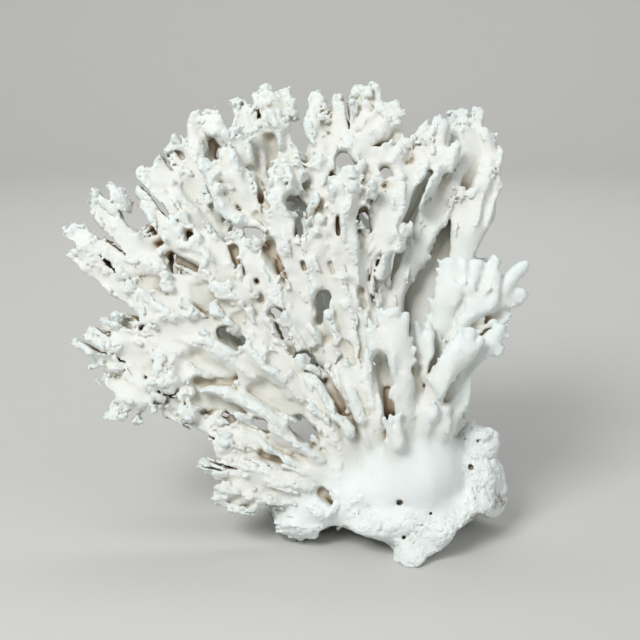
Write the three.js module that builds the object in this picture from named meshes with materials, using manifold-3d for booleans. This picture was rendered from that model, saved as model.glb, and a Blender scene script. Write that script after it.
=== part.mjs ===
// A bleached stony coral skeleton: a leaning fan of flattened limbs on a domed, broken-off holdfast.
// Units are millimetres, +Z is up, and the open front of the fan looks along -Y.

import * as THREE from 'three';
import { mergeVertices } from 'three/addons/utils/BufferGeometryUtils.js';
import Module from 'manifold-3d';

const wasm = await Module();
wasm.setup();

// Driving dimensions
const LEAN = THREE.MathUtils.degToRad(14); // how far the fan leans back from upright
const BASE_DROP = 11.4; // the cut is this far above the fan frame's own origin
const BASE_SETBACK = 36; // and its middle this far behind it
const GAP = 0.3; // clearance between neighbouring pieces
const FINGER_ROOT = 3.0; // half width of a finger where it leaves its limb
const FINGER_TIP = 1.9;
const FINGER_LENGTH = 8.5;

// The fan frame has u to the right, v up the fan and w towards the front.
// Every limb below is a list of stations [u, v, w, half width, half thickness] from root to tip.
const fanToWorld = new THREE.Matrix4()
  .makeRotationX(Math.PI / 2 - LEAN)
  .setPosition(0, -BASE_SETBACK, -BASE_DROP);

// A repeatable scatter between -1 and 1
function scatter(seed) {
  const value = Math.sin(seed * 12.9898 + 4.1414) * 43758.5453;
  return 2 * (value - Math.floor(value)) - 1;
}

// Closed three.js geometry, given in the fan frame, as a solid in the world frame
function solidOf(geometry) {
  geometry.deleteAttribute('normal');
  geometry.deleteAttribute('uv');
  geometry.applyMatrix4(fanToWorld);
  const merged = mergeVertices(geometry, 1e-4);
  const corners = [...merged.index.array];
  const triVerts = corners.filter((_, i) => {
    const [a, b, c] = corners.slice(i - (i % 3), i - (i % 3) + 3);
    return a !== b && b !== c && c !== a;
  });
  return new wasm.Manifold(
    new wasm.Mesh({
      numProp: 3,
      vertProperties: new Float32Array(merged.attributes.position.array),
      triVerts: new Uint32Array(triVerts),
    }),
  );
}

function union(solids) {
  return wasm.Manifold.union(solids);
}

// The directions along, across and out of a limb's flat face at one station
function frameAt(stations, index, turn) {
  const before = new THREE.Vector3(...stations[Math.max(index - 1, 0)]);
  const after = new THREE.Vector3(...stations[Math.min(index + 1, stations.length - 1)]);
  const along = after.sub(before).normalize();
  const front = new THREE.Vector3(0, 0, 1);
  const across = along.clone().cross(front).normalize().applyAxisAngle(along, turn);
  return { along, across, out: across.clone().cross(along) };
}

// A point on a limb, between its stations: place, half width, half thickness and the directions there
function pointOn(stations, travel, turn) {
  const last = stations.length - 1;
  const index = Math.min(Math.floor(travel), last - 1);
  const mix = (value, k) => THREE.MathUtils.lerp(value, stations[index + 1][k], travel - index);
  const [u, v, w, wide, thick] = stations[index].map(mix);
  const frame = frameAt(stations, Math.round(travel), turn);
  return { place: new THREE.Vector3(u, v, w), wide, thick, ...frame };
}

// The fingers of one limb: along its left edge, round its end and along its right edge
function fingersOf({ stations, tips = 3, spread = 60, edges = 0, only = 0, turn = 0 }, seed) {
  const last = stations.length - 1;
  const finger = (travel, start, direction, out, size) => ({
    travel,
    start,
    across: direction.clone().normalize().cross(out).normalize(),
    end: start.clone().addScaledVector(direction.normalize(), FINGER_LENGTH * size),
  });
  const edgeFingers = Array.from({ length: edges }, (_, i) => {
    const side = only || (i % 2 === 0 ? 1 : -1);
    const travel = last * (0.42 + (0.5 * (i + 0.5)) / edges);
    const { place, wide, along, across, out } = pointOn(stations, travel, turn);
    const direction = along.clone().multiplyScalar(0.8 + 0.3 * scatter(seed + i + 0.2))
      .addScaledVector(across, side)
      .addScaledVector(out, 0.35 * scatter(seed + i + 0.6));
    const start = place.addScaledVector(across, side * (wide - 1));
    return { side, ...finger(travel, start, direction, out, (0.8 + 0.25 * scatter(seed + i + 0.4))) };
  });
  const { place, wide, along, across, out } = pointOn(stations, last, turn);
  const endFingers = Array.from({ length: tips }, (_, i) => {
    const side = tips > 1 ? (2 * i) / (tips - 1) - 1 : 0;
    const angle = THREE.MathUtils.degToRad(spread * side + 8 * scatter(seed + i));
    const start = place.clone()
      .addScaledVector(across, side * (wide - 0.5 * FINGER_ROOT))
      .addScaledVector(along, -2 * Math.abs(side));
    const direction = along.clone().multiplyScalar(Math.cos(angle))
      .addScaledVector(across, Math.sin(angle))
      .addScaledVector(out, 0.35 * scatter(seed + i + 0.7));
    return { side: 0, ...finger(last, start, direction, out, (0.95 + 0.3 * scatter(seed + i + 0.9))) };
  });
  return [
    ...edgeFingers.filter(({ side }) => side < 0),
    ...endFingers,
    ...edgeFingers.filter(({ side }) => side > 0).reverse(),
  ];
}

// The outline of a limb with its fingers, up the left edge, round the end and down the right edge
function outlineOf(limb, seed, grow) {
  const { stations, turn = 0 } = limb;
  const last = stations.length - 1;
  const edgePoint = (travel, side) => {
    const { place, wide, across, out } = pointOn(stations, travel, turn);
    return { travel, side, place: place.addScaledVector(across, side * (wide + grow)), half: grow, out };
  };
  const fingerPoints = ({ travel, side, start, end, across }) => {
    const { out } = pointOn(stations, travel, turn);
    const corner = (from, offset, half) => (
      { travel, side, place: from.clone().addScaledVector(across, offset), half: half + grow, out });
    const root = corner(start, -FINGER_ROOT - grow, 0);
    const tip = end.clone().addScaledVector(end.clone().sub(start).normalize(), 2 * grow);
    if (side !== 0) {
      return [root, corner(tip, 0, 0.8 * FINGER_TIP)];
    }
    const blunt = FINGER_TIP + grow;
    return [root, corner(tip, -blunt, 0.8 * FINGER_TIP), corner(tip, blunt, 0.8 * FINGER_TIP)];
  };
  const fingers = fingersOf(limb, seed);
  const between = (side) => stations.slice(0, last).map((_, travel) => edgePoint(travel, side));
  const ofSide = (side) => [
    ...between(side).map((point) => ({ travel: point.travel, points: [point] })),
    ...fingers.filter((finger) => finger.side === side)
      .map((finger) => ({ travel: finger.travel, points: fingerPoints(finger) })),
  ].sort((one, two) => side * (two.travel - one.travel)).flatMap(({ points }) => points);
  const end = fingers.filter(({ side }) => side === 0).flatMap(fingerPoints);
  return [...ofSide(-1), ...(end.length ? end : [edgePoint(last, -1)]), edgePoint(last, 1), ...ofSide(1)];
}

// A limb: its outline as a thin rim, with a ridge standing up along the middle of both faces
function limbGeometry(limb, seed, grow = 0) {
  const { stations, turn = 0 } = limb;
  const outline = outlineOf(limb, seed, grow);
  const ridge = stations.map((_, index) => pointOn(stations, index, turn));
  const positions = [];
  const push = (place, out, offset) => {
    const at = place.clone().addScaledVector(out, offset);
    positions.push(at.x, at.y, at.z);
  };
  outline.forEach(({ place, out, half }) => push(place, out, half));
  outline.forEach(({ place, out, half }) => push(place, out, -half));
  ridge.forEach(({ place, out, thick }) => push(place, out, thick + grow));
  ridge.forEach(({ place, out, thick }) => push(place, out, -thick - grow));
  const count = outline.length;
  const triangles = [];
  const bothFaces = (corners) => {
    const [a, b, c] = corners.map(({ rim, spine }) => rim ?? 2 * count + spine);
    const behind = ({ rim, spine }) => (rim === undefined ? 2 * count + ridge.length + spine : count + rim);
    const [d, e, f] = corners.map(behind);
    triangles.push(a, b, c, f, e, d);
  };
  let spine = 0;
  outline.forEach(({ travel }, rim) => {
    const target = Math.round(travel);
    while (spine !== target) {
      const step = spine + Math.sign(target - spine);
      bothFaces([{ rim }, { spine }, { spine: step }]);
      spine = step;
    }
    const next = (rim + 1) % count;
    bothFaces([{ rim: next }, { rim }, { spine }]);
    triangles.push(rim, next, count + next, rim, count + next, count + rim);
  });
  const geometry = new THREE.BufferGeometry();
  geometry.setAttribute('position', new THREE.Float32BufferAttribute(positions, 3));
  geometry.setIndex(triangles);
  return geometry;
}

// All the solids of a list of limbs, each `grow` mm larger than life all round
function limbSolids(limbs, seed, grow = 0) {
  return limbs.map((limb, i) => {
    const turn = THREE.MathUtils.degToRad(limb.turn ?? 0);
    return solidOf(limbGeometry({ ...limb, turn }, seed + 10 * i, grow));
  });
}

// A rounded lump: a coarse ball with three half sizes
function lump([u, v, w], [halfWide, halfHigh, halfDeep], grow = 0) {
  const geometry = halfWide > 20 ? new THREE.IcosahedronGeometry(1, 1) : new THREE.OctahedronGeometry(1, 1);
  geometry.scale(halfWide + grow, halfHigh + grow, halfDeep + grow);
  geometry.translate(u, v, w);
  return solidOf(geometry);
}

// A flat region of the fan plane, extruded through the fan from w = back to w = front
function slab(outline, back, front) {
  const shape = new THREE.Shape(outline.map(([u, v]) => new THREE.Vector2(u, v)));
  const geometry = new THREE.ExtrudeGeometry(shape, { depth: front - back, bevelEnabled: false });
  geometry.translate(0, 0, back);
  return solidOf(geometry);
}

// An oval opening right through the fan
function opening([u, v, halfWide, halfHigh, turn]) {
  const angle = THREE.MathUtils.degToRad(turn);
  const corners = [0, 1, 2, 3, 4, 5].map((i) => {
    const x = halfWide * Math.cos((i * Math.PI) / 3);
    const y = halfHigh * Math.sin((i * Math.PI) / 3);
    return [u + x * Math.cos(angle) - y * Math.sin(angle), v + x * Math.sin(angle) + y * Math.cos(angle)];
  });
  return slab(corners, -26, 60);
}

// Limbs of the skeleton, bough by bough. `tips` is the number of fingers round a limb's end and `spread`
// the angle of the outer two, `edges` the number along its edges, `only` the one edge (1 right, -1 left)
// that has them, and `turn` the angle of its flat face from the fan's own.

const trunkLimbs = [
  {
    stations: [[4, 66, 0, 24, 14], [-10, 92, 4, 24, 13], [-22, 118, 4, 21, 11], [-28, 138, 4, 19, 9]],
    tips: 0,
  },
  {
    stations: [[-12, 78, 14, 11, 8], [-20, 100, 16, 11, 8], [-26, 120, 16, 9, 6]],
    tips: 3, spread: 40, edges: 2,
  },
  {
    stations: [[-36, 72, 10, 10, 8], [-46, 96, 12, 9, 7], [-50, 116, 12, 7, 5]],
    tips: 2, spread: 40, edges: 1,
  },
];

const leftLimbs = [
  {
    stations: [[-45, 98, 0, 15, 9], [-78, 122, 5, 15, 9], [-120, 143, 7, 14, 8], [-155, 161, 5, 12, 6]],
    tips: 2,
  },
  {
    stations: [[-148, 166, 5, 11, 6], [-170, 170, 3, 11, 5], [-192, 181, 2, 9, 4]],
    tips: 4, spread: 75, edges: 2,
  },
  {
    stations: [[-140, 146, -3, 9, 6], [-162, 148, -4, 9, 5], [-176, 147, -4, 5, 4]],
    tips: 2, spread: 30,
  },
  {
    stations: [[-60, 101, 0, 14, 8], [-102, 122, 4, 12, 7], [-138, 134, 6, 11, 6], [-183, 136, 4, 8, 4]],
    tips: 4, spread: 60, edges: 2,
  },
  {
    stations: [[-120, 125, 0, 11, 6], [-150, 123, 1, 10, 6], [-173, 122, 2, 8, 4]],
    tips: 4, spread: 60, edges: 2,
  },
  {
    stations: [[-114, 122, 6, 10, 6], [-141, 116, 8, 9, 6], [-164, 101, 7, 7, 4]],
    tips: 3, spread: 55, edges: 2,
  },
  { stations: [[-130, 118, 2, 6, 5], [-146, 110, 2, 5, 4], [-153, 99, 2, 4.5, 4]], tips: 2, spread: 15 },
  { stations: [[-74, 128, 1, 12, 8], [-106, 157, 4, 12, 7], [-140, 172, 4, 10, 6]], tips: 2, spread: 30 },
];

const lowerLeftLimbs = [
  {
    stations: [[-30, 80, 4, 14, 9], [-60, 86, 6, 13, 8], [-96, 99, 6, 11, 7], [-122, 105, 4, 8, 5]],
    tips: 3, edges: 1,
  },
  { stations: [[-96, 110, 0, 7, 5], [-120, 110, 0, 6, 4], [-138, 109, 0, 4, 3]], tips: 2, spread: 35 },
  { stations: [[-104, 101, -2, 8, 5], [-126, 97, -3, 8, 4], [-139, 94, -3, 6, 3]], tips: 3, spread: 50 },
  { stations: [[-76, 87, 3, 9, 5], [-104, 87, 2, 6, 4], [-125, 86, 2, 2.5, 2]], tips: 1 },
  { stations: [[-66, 78, 6, 11, 7], [-90, 77, 5, 10, 6], [-104, 73, 4, 8, 5]], tips: 4, spread: 50 },
  {
    stations: [[-38, 60, 5, 14, 9], [-72, 58, 6, 14, 8], [-107, 60, 3, 9, 4]],
    tips: 4, spread: 60, edges: 2,
  },
  {
    stations: [[-52, 49, 2, 9, 7], [-78, 46, 2, 9, 6], [-96, 45, 2, 8, 4]],
    tips: 4, spread: 75, edges: 1,
  },
];

const upperLeftLimbs = [
  {
    stations: [[-52, 138, 2, 15, 9], [-74, 157, 6, 15, 9], [-102, 179, 8, 15, 8], [-132, 198, 6, 13, 7]],
    tips: 2,
  },
  {
    stations: [[-134, 180, 2, 12, 6], [-158, 189, 2, 11, 6], [-170, 205, 2, 9, 5], [-174, 219, 1, 6, 4]],
    tips: 4, spread: 45, edges: 3,
  },
  {
    stations: [[-144, 180, 6, 10, 6], [-166, 187, 5, 9, 5], [-189, 199, 3, 8, 4]],
    tips: 4, spread: 80, edges: 1,
  },
  {
    stations: [[-132, 186, -4, 8, 5], [-146, 200, -6, 6, 4], [-151, 212, -6, 4, 3]],
    tips: 2, spread: 50,
  },
  {
    stations: [[-104, 188, 0, 13, 8], [-126, 216, 0, 14, 7], [-148, 241, -3, 10, 4]],
    tips: 5, spread: 85, edges: 3,
  },
  {
    stations: [[-116, 208, -6, 9, 6], [-128, 240, -9, 8, 5], [-135, 259, -10, 5, 3]],
    tips: 2, spread: 20, edges: 1,
  },
  {
    stations: [[-114, 210, -2, 9, 6], [-122, 246, -4, 7, 5], [-125, 265, -5, 5, 3]],
    tips: 2, spread: 20, edges: 1,
  },
  {
    stations: [[-111, 200, -8, 8, 6], [-116, 240, -11, 6, 5], [-117, 266, -12, 4, 3]],
    tips: 2, spread: 25, edges: 1,
  },
  { stations: [[-66, 152, 6, 11, 8], [-84, 180, 9, 11, 7], [-98, 200, 8, 9, 5]], tips: 3, spread: 35 },
];

const crownLeftLimbs = [
  {
    stations: [[-38, 146, 3, 14, 9], [-55, 177, 8, 15, 9], [-78, 208, 9, 14, 8], [-92, 228, 6, 12, 7]],
    tips: 2,
  },
  { stations: [[-88, 214, 12, 10, 6], [-99, 231, 14, 9, 5], [-105, 238, 14, 6, 4]], tips: 3, spread: 40 },
  {
    stations: [[-84, 200, 13, 7, 5], [-103, 213, 16, 5, 4], [-113, 224, 16, 4, 3]],
    tips: 2, spread: 50, edges: 2,
  },
  {
    stations: [[-87, 221, -2, 10, 7], [-94, 250, -4, 12, 7], [-97, 272, -6, 13, 5]],
    tips: 4, spread: 75, edges: 2,
  },
  {
    stations: [[-79, 226, 0, 8, 6], [-81, 255, -3, 6, 5], [-82, 277, -5, 6, 4]],
    tips: 3, spread: 45, edges: 2,
  },
  {
    stations: [[-72, 225, 4, 7, 6], [-72, 252, 0, 5, 5], [-70, 277, -3, 5, 4]],
    tips: 3, spread: 50, edges: 1,
  },
  { stations: [[-67, 190, 12, 11, 7], [-71, 208, 16, 11, 7], [-71, 225, 18, 8, 5]], tips: 3, spread: 35 },
  {
    stations: [[-64, 205, -2, 9, 7], [-66, 240, 4, 6, 5], [-66, 264, 5, 5, 4]],
    tips: 3, spread: 55, edges: 1,
  },
];

const crownLimbs = [
  {
    stations: [[-21, 143, 3, 14, 9], [-34, 176, 8, 15, 9], [-45, 208, 8, 13, 8], [-50, 236, 2, 9, 6]],
    tips: 1,
  },
  {
    stations: [[-50, 226, 0, 9, 6], [-50, 255, -4, 7, 5], [-50, 279, -6, 7, 4]],
    tips: 4, spread: 50, edges: 2,
  },
  {
    stations: [[-42, 225, 2, 7, 5], [-38, 255, 0, 5, 4], [-37, 275, -2, 4, 3]],
    tips: 2, spread: 30, edges: 1,
  },
  {
    stations: [[-24, 196, -2, 11, 8], [-23, 240, -3, 10, 7], [-20, 280, -5, 9, 5]],
    tips: 5, spread: 55, edges: 3,
  },
  {
    stations: [[-42, 232, 4, 9, 5], [-24, 254, 4, 9, 5], [-4, 269, 4, 7, 3]],
    tips: 4, spread: 40, edges: 2,
  },
  { stations: [[-20, 212, 4, 10, 7], [-8, 240, 5, 9, 6], [3, 256, 4, 6, 4]], tips: 3, spread: 50 },
  {
    stations: [[-33, 176, 12, 11, 7], [-34, 202, 18, 10, 7], [-33, 220, 22, 8, 5]],
    tips: 4, spread: 30, edges: 1,
  },
  { stations: [[-50, 174, 10, 10, 7], [-51, 192, 15, 9, 6], [-50, 202, 17, 8, 5]], tips: 3, spread: 40 },
];

const centreLimbs = [
  {
    stations: [
      [-14, 138, 4, 13, 9], [-12, 176, 8, 13, 9], [-6, 208, 9, 13, 8],
      [10, 234, 6, 11, 6], [27, 248, 3, 7, 4],
    ],
    tips: 4, spread: 70, edges: 6, only: 1,
  },
  {
    stations: [[2, 222, 0, 9, 6], [14, 247, -1, 9, 5], [19, 262, -2, 8, 4]],
    tips: 4, spread: 60, edges: 1,
  },
];

const frontLimbs = [
  {
    stations: [[2, 74, 22, 9, 7], [-2, 105, 28, 8, 6], [-6, 128, 30, 12, 6], [-9, 141, 29, 13, 5]],
    tips: 5, spread: 45, edges: 2,
  },
  { stations: [[4, 92, 20, 7, 5], [12, 124, 20, 5, 5], [13, 140, 20, 5, 4]], tips: 2, spread: 25 },
  {
    stations: [[6, 80, 22, 9, 6], [16, 108, 26, 7, 6], [27, 125, 28, 8, 6], [35, 134, 28, 9, 5]],
    tips: 4, spread: 60, edges: 3,
  },
  {
    stations: [[14, 78, 12, 11, 6], [33, 108, 12, 10, 6], [48, 128, 14, 7, 5], [59, 144, 14, 4, 3]],
    tips: 2, spread: 25, edges: 3, only: 1,
  },
  { stations: [[-2, 66, 26, 6, 5], [-5, 84, 30, 5, 4]], tips: 2, spread: 35 },
  { stations: [[20, 76, 18, 6, 5], [25, 98, 21, 4, 4]], tips: 2, spread: 20 },
];

const rightLimbs = [
  {
    stations: [[14, 86, -2, 13, 8], [30, 132, 6, 15, 8], [38, 158, 10, 17, 8], [43, 179, 11, 17, 6]],
    tips: 5, spread: 40,
  },
  {
    stations: [[36, 130, 2, 10, 7], [54, 152, 4, 11, 6], [67, 169, 4, 10, 5]],
    tips: 4, spread: 70, edges: 2,
  },
  {
    stations: [[26, 136, 8, 9, 6], [20, 158, 9, 7, 5], [20, 176, 9, 6, 4]],
    tips: 2, spread: 30, edges: 3, only: -1,
  },
];

const backPlateLimbs = [
  {
    stations: [[0, 92, -20, 15, 9], [4, 160, -22, 13, 6], [12, 205, -25, 9, 4], [22, 234, -27, 6, 3]],
    tips: 2, spread: 30,
  },
  {
    stations: [
      [8, 98, -24, 13, 8], [4, 161, -24, 11, 6], [20, 206, -28, 9, 5],
      [36, 243, -30, 9, 5], [41, 271, -31, 7, 4],
    ],
    tips: 4, spread: 45, edges: 2, only: 1,
  },
  {
    stations: [
      [22, 96, -24, 13, 8], [34, 161, -22, 10, 6], [43, 214, -23, 9, 5],
      [53, 246, -25, 8, 5], [52, 272, -26, 6, 4],
    ],
    tips: 4, spread: 45, edges: 4, only: 1,
  },
  {
    stations: [[38, 150, -32, 8, 5], [54, 210, -33, 6, 4], [60, 258, -33, 5, 3]],
    tips: 2, spread: 30, edges: 3, only: 1,
  },
];

const rearLeftLimbs = [
  {
    stations: [
      [-16, 74, -26, 17, 12], [-62, 110, -40, 13, 9],
      [-102, 140, -48, 11, 7], [-134, 160, -52, 9, 5],
    ],
    tips: 4, spread: 60, edges: 1,
  },
  {
    stations: [[-56, 106, -38, 11, 8], [-100, 112, -46, 9, 6], [-130, 116, -48, 8, 4]],
    tips: 4, spread: 60, edges: 1,
  },
  {
    stations: [[-66, 112, -42, 11, 8], [-96, 160, -58, 9, 6], [-112, 190, -64, 8, 4]],
    tips: 4, spread: 60, edges: 1,
  },
];

const rearCrownLimbs = [
  {
    stations: [
      [-14, 84, -28, 17, 12], [-40, 140, -42, 13, 9],
      [-62, 190, -50, 11, 7], [-78, 228, -52, 9, 5],
    ],
    tips: 4, spread: 55, edges: 2,
  },
  {
    stations: [[-38, 136, -42, 11, 8], [-34, 190, -52, 10, 7], [-30, 236, -54, 8, 5]],
    tips: 4, spread: 55, edges: 1,
  },
  {
    stations: [[-28, 112, -38, 12, 8], [-46, 160, -66, 9, 6], [-52, 190, -78, 8, 4]],
    tips: 4, spread: 60, edges: 1,
  },
];

const rearRightLimbs = [
  {
    stations: [[0, 78, -34, 16, 12], [12, 120, -58, 12, 8], [18, 156, -70, 10, 6], [22, 186, -74, 8, 4]],
    tips: 4, spread: 60, edges: 1,
  },
  {
    stations: [[6, 98, -46, 11, 8], [34, 132, -66, 9, 6], [48, 158, -72, 8, 4]],
    tips: 4, spread: 60, edges: 1,
  },
];

// Openings right through the fan, each [u, v, half width, half height, turn in degrees]
const openings = [
  [-46.5, 156, 3.4, 8.5, 8], [-73, 148, 3, 9.5, 28], [-98, 137, 9, 4.2, -32],
  [-52, 122, 3.2, 7.5, 35], [-58, 83, 7.5, 4.5, 35], [-33, 232, 8, 5.5, 0],
];

function largestBody(solid) {
  const bodies = solid.decompose();
  return bodies.reduce((best, body) => (body.volume() > best.volume() ? body : best));
}

// The holdfast: a smooth dome on a broken crust, a foot in front, another at the left and a lobe at the right
function holdfastSolids(grow) {
  return [
    lump([6, 54, -14], [37, 33, 40], grow),
    lump([12, 33, -22], [46, 22, 42], grow),
    lump([8, 12, 15], [13, 15, 12], grow),
    lump([48, 76, -14], [12, 11, 11], grow),
    lump([54, 54, -20], [12, 20, 15], grow),
    lump([50, 34, -30], [16, 14, 18], grow),
    lump([-26, 42, 0], [22, 20, 17], grow),
    lump([-56, 25, -20], [24, 15, 16], grow),
    lump([-46, 34, -50], [38, 20, 28], grow),
    lump([4, 44, -56], [40, 27, 28], grow),
  ];
}

// Everything under the cut
const floor = (() => {
  const geometry = new THREE.BoxGeometry(600, 600, 200);
  geometry.translate(0, 0, -100);
  geometry.applyMatrix4(fanToWorld.clone().invert());
  return solidOf(geometry);
})();
const allOpenings = union(openings.map(opening));

// The boughs in the order they part from the trunk: each is trimmed to clear the ones before it
const boughs = {
  trunk: trunkLimbs,
  left_bough: leftLimbs,
  lower_left_bough: lowerLeftLimbs,
  upper_left_bough: upperLeftLimbs,
  crown_left_bough: crownLeftLimbs,
  crown_bough: crownLimbs,
  centre_bough: centreLimbs,
  front_bough: frontLimbs,
  right_bough: rightLimbs,
  back_plate_bough: backPlateLimbs,
  rear_left_bough: rearLeftLimbs,
  rear_crown_bough: rearCrownLimbs,
  rear_right_bough: rearRightLimbs,
};

const pieces = { holdfast: union(holdfastSolids(0)).subtract(floor) };
let taken = union(holdfastSolids(GAP));
Object.entries(boughs).forEach(([name, limbs], i) => {
  const seed = 100 * (i + 1);
  const grown = union(limbSolids(limbs, seed));
  pieces[name] = largestBody(grown.subtract(taken).subtract(allOpenings).subtract(floor));
  taken = taken.add(union([...limbSolids(limbs, seed, GAP), pieces[name]]));
});

// Finish: chalky bleached skeleton, the same on every bough
const skeleton = new THREE.MeshStandardMaterial({ color: 0xe9e7df, roughness: 0.85, metalness: 0 });
const crust = new THREE.MeshStandardMaterial({ color: 0xdfe3e0, roughness: 0.95, metalness: 0 });

const coral = new THREE.Group();
for (const [name, solid] of Object.entries(pieces)) {
  const { vertProperties, triVerts } = solid.getMesh();
  const geometry = new THREE.BufferGeometry();
  geometry.setAttribute('position', new THREE.BufferAttribute(vertProperties, 3));
  geometry.setIndex(new THREE.BufferAttribute(triVerts, 1));
  geometry.computeVertexNormals();
  const mesh = new THREE.Mesh(geometry, name === 'holdfast' ? crust : skeleton);
  mesh.name = name;
  coral.add(mesh);
}

export default coral;
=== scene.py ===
# A bleached skeleton of a branching stony coral, standing on the flat cut of its holdfast.
# The skeleton grew in one piece, so its skin is worked out in one block of space, and is then parted
# at the forks.
import math
import bpy
import numpy as np
import openvdb
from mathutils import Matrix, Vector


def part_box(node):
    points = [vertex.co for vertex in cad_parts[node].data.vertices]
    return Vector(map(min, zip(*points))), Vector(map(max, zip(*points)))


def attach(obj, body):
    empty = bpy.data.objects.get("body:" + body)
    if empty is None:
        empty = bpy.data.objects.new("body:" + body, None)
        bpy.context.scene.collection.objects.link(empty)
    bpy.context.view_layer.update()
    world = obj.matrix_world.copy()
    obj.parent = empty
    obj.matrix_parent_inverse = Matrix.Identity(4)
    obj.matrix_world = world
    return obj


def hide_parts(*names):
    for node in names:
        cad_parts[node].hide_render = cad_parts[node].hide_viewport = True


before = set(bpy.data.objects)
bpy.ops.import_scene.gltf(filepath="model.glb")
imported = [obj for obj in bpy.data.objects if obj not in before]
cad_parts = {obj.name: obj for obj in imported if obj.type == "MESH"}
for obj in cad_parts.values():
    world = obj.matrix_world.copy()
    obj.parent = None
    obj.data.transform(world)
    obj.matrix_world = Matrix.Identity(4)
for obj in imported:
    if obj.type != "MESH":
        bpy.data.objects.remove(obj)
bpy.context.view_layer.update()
MM = 0.001

# The camera stands level with the crown and looks a little down on the fan, square to it.
view = bpy.data.cameras.new("view")
view.lens, view.sensor_width = 60, 36
camera = bpy.data.objects.new("view", view)
camera.location = (-0.048, -0.621, 0.288)
camera.rotation_euler = (math.radians(76), 0, 0)
bpy.context.scene.collection.objects.link(camera)
bpy.context.scene.camera = camera

# Trunk and boughs: calcium carbonate, grown as flattened limbs that fork, fuse and end in small fingers.
# Each limb is a list of stations (u right, v up the fan, w to the front, half width, half thickness) in mm.
LEAN = math.radians(14)  # the fan leans back by this much
BASE_DROP, BASE_SETBACK = 11.4, 36  # mm: the fan's zero is below the cut, and in front of the cut's middle
PITCH = 0.65  # mm between the points where the distance to the skin is worked out
FAR = 9.0  # mm: the distance that stands for nothing near
MARGIN = 12  # mm of space round the solids
node_boxes = np.array([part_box(name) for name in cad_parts]) / MM
ORIGIN = node_boxes[:, 0].min(0) - MARGIN
SHAPE = tuple(np.ceil((node_boxes[:, 1].max(0) + MARGIN - ORIGIN) / PITCH).astype(int))
fan = np.array([[1, 0, 0],
                [0, math.sin(LEAN), -math.cos(LEAN)],
                [0, math.cos(LEAN), math.sin(LEAN)]])


def in_world(points):
    """Places in the fan's frame as places in the part's own frame, in mm."""
    return np.asarray(points, float) @ fan.T - [0, BASE_SETBACK, BASE_DROP]


def limb(stations, spread=60, bare=False):
    """A limb, with how many degrees its end fingers fan out by, and whether its edges bear no teeth."""
    return {"stations": stations, "spread": spread, "bare": bare}


trunk_limbs = [
    limb([(4, 66, 0, 24, 14), (-10, 92, 4, 24, 13), (-22, 118, 4, 21, 11), (-28, 138, 4, 19, 9)], bare=True),
    limb([(-6, 60, 2, 12, 8), (-14, 82, 11, 11, 8), (-20, 102, 14, 11, 8), (-26, 120, 15, 9, 6)]),
    limb([(-26, 56, -4, 11, 8), (-36, 76, 6, 10, 8), (-46, 98, 10, 9, 7), (-50, 116, 11, 7, 5)]),
]

left_limbs = [
    limb([(-45, 98, 0, 15, 9), (-78, 122, 5, 15, 9), (-120, 143, 7, 14, 8), (-155, 161, 5, 12, 6)]),
    limb([(-148, 166, 5, 11, 6), (-170, 170, 3, 11, 5), (-192, 181, 2, 9, 4)], spread=75),
    limb([(-140, 146, -3, 9, 6), (-162, 148, -4, 9, 5), (-176, 147, -4, 5, 4)], spread=30),
    limb([(-60, 101, 0, 14, 8), (-102, 122, 4, 12, 7), (-138, 134, 6, 11, 6), (-183, 136, 4, 8, 4)]),
    limb([(-120, 125, 0, 11, 6), (-150, 123, 1, 10, 6), (-173, 122, 2, 8, 4)]),
    limb([(-114, 122, 6, 10, 6), (-141, 116, 8, 9, 6), (-164, 101, 7, 7, 4)], spread=55),
    limb([(-130, 118, 2, 6, 5), (-146, 110, 2, 5, 4), (-153, 99, 2, 4.5, 4)], spread=15),
    limb([(-74, 128, 1, 12, 8), (-106, 157, 4, 12, 7), (-140, 172, 4, 10, 6)], spread=30),
]

lower_left_limbs = [
    limb([(-30, 80, 4, 14, 9), (-60, 86, 6, 13, 8), (-96, 99, 6, 11, 7), (-122, 105, 4, 8, 5)]),
    limb([(-96, 110, 0, 7, 5), (-120, 110, 0, 6, 4), (-138, 109, 0, 4, 3)], spread=35),
    limb([(-104, 101, -2, 8, 5), (-126, 97, -3, 8, 4), (-139, 94, -3, 6, 3)], spread=50),
    limb([(-76, 87, 3, 9, 5), (-104, 87, 2, 6, 4), (-125, 86, 2, 2.5, 2)]),
    limb([(-66, 78, 6, 11, 7), (-90, 77, 5, 10, 6), (-104, 73, 4, 8, 5)], spread=50),
    limb([(-38, 60, 5, 14, 9), (-72, 58, 6, 14, 8), (-107, 60, 3, 9, 4)]),
    limb([(-52, 49, 2, 9, 7), (-78, 46, 2, 9, 6), (-96, 45, 2, 8, 4)], spread=75),
]

upper_left_limbs = [
    limb([(-52, 138, 2, 15, 9), (-74, 157, 6, 15, 9), (-102, 179, 8, 15, 8), (-132, 198, 6, 13, 7)]),
    limb([(-134, 180, 2, 12, 6), (-158, 189, 2, 11, 6), (-170, 205, 2, 9, 5), (-174, 219, 1, 6, 4)],
         spread=45),
    limb([(-144, 180, 6, 10, 6), (-166, 187, 5, 9, 5), (-189, 199, 3, 8, 4)], spread=80),
    limb([(-132, 186, -4, 8, 5), (-146, 200, -6, 6, 4), (-151, 212, -6, 4, 3)], spread=50),
    limb([(-104, 188, 0, 13, 8), (-126, 216, 0, 14, 7), (-148, 241, -3, 10, 4)], spread=85),
    limb([(-116, 208, -6, 9, 6), (-128, 240, -9, 8, 5), (-135, 259, -10, 5, 3)], spread=20),
    limb([(-114, 210, -2, 9, 6), (-122, 246, -4, 7, 5), (-125, 265, -5, 5, 3)], spread=20),
    limb([(-111, 200, -8, 8, 6), (-116, 240, -11, 6, 5), (-117, 266, -12, 4, 3)], spread=25),
    limb([(-66, 152, 6, 11, 8), (-84, 180, 9, 11, 7), (-98, 200, 8, 9, 5)], spread=35),
]

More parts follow.
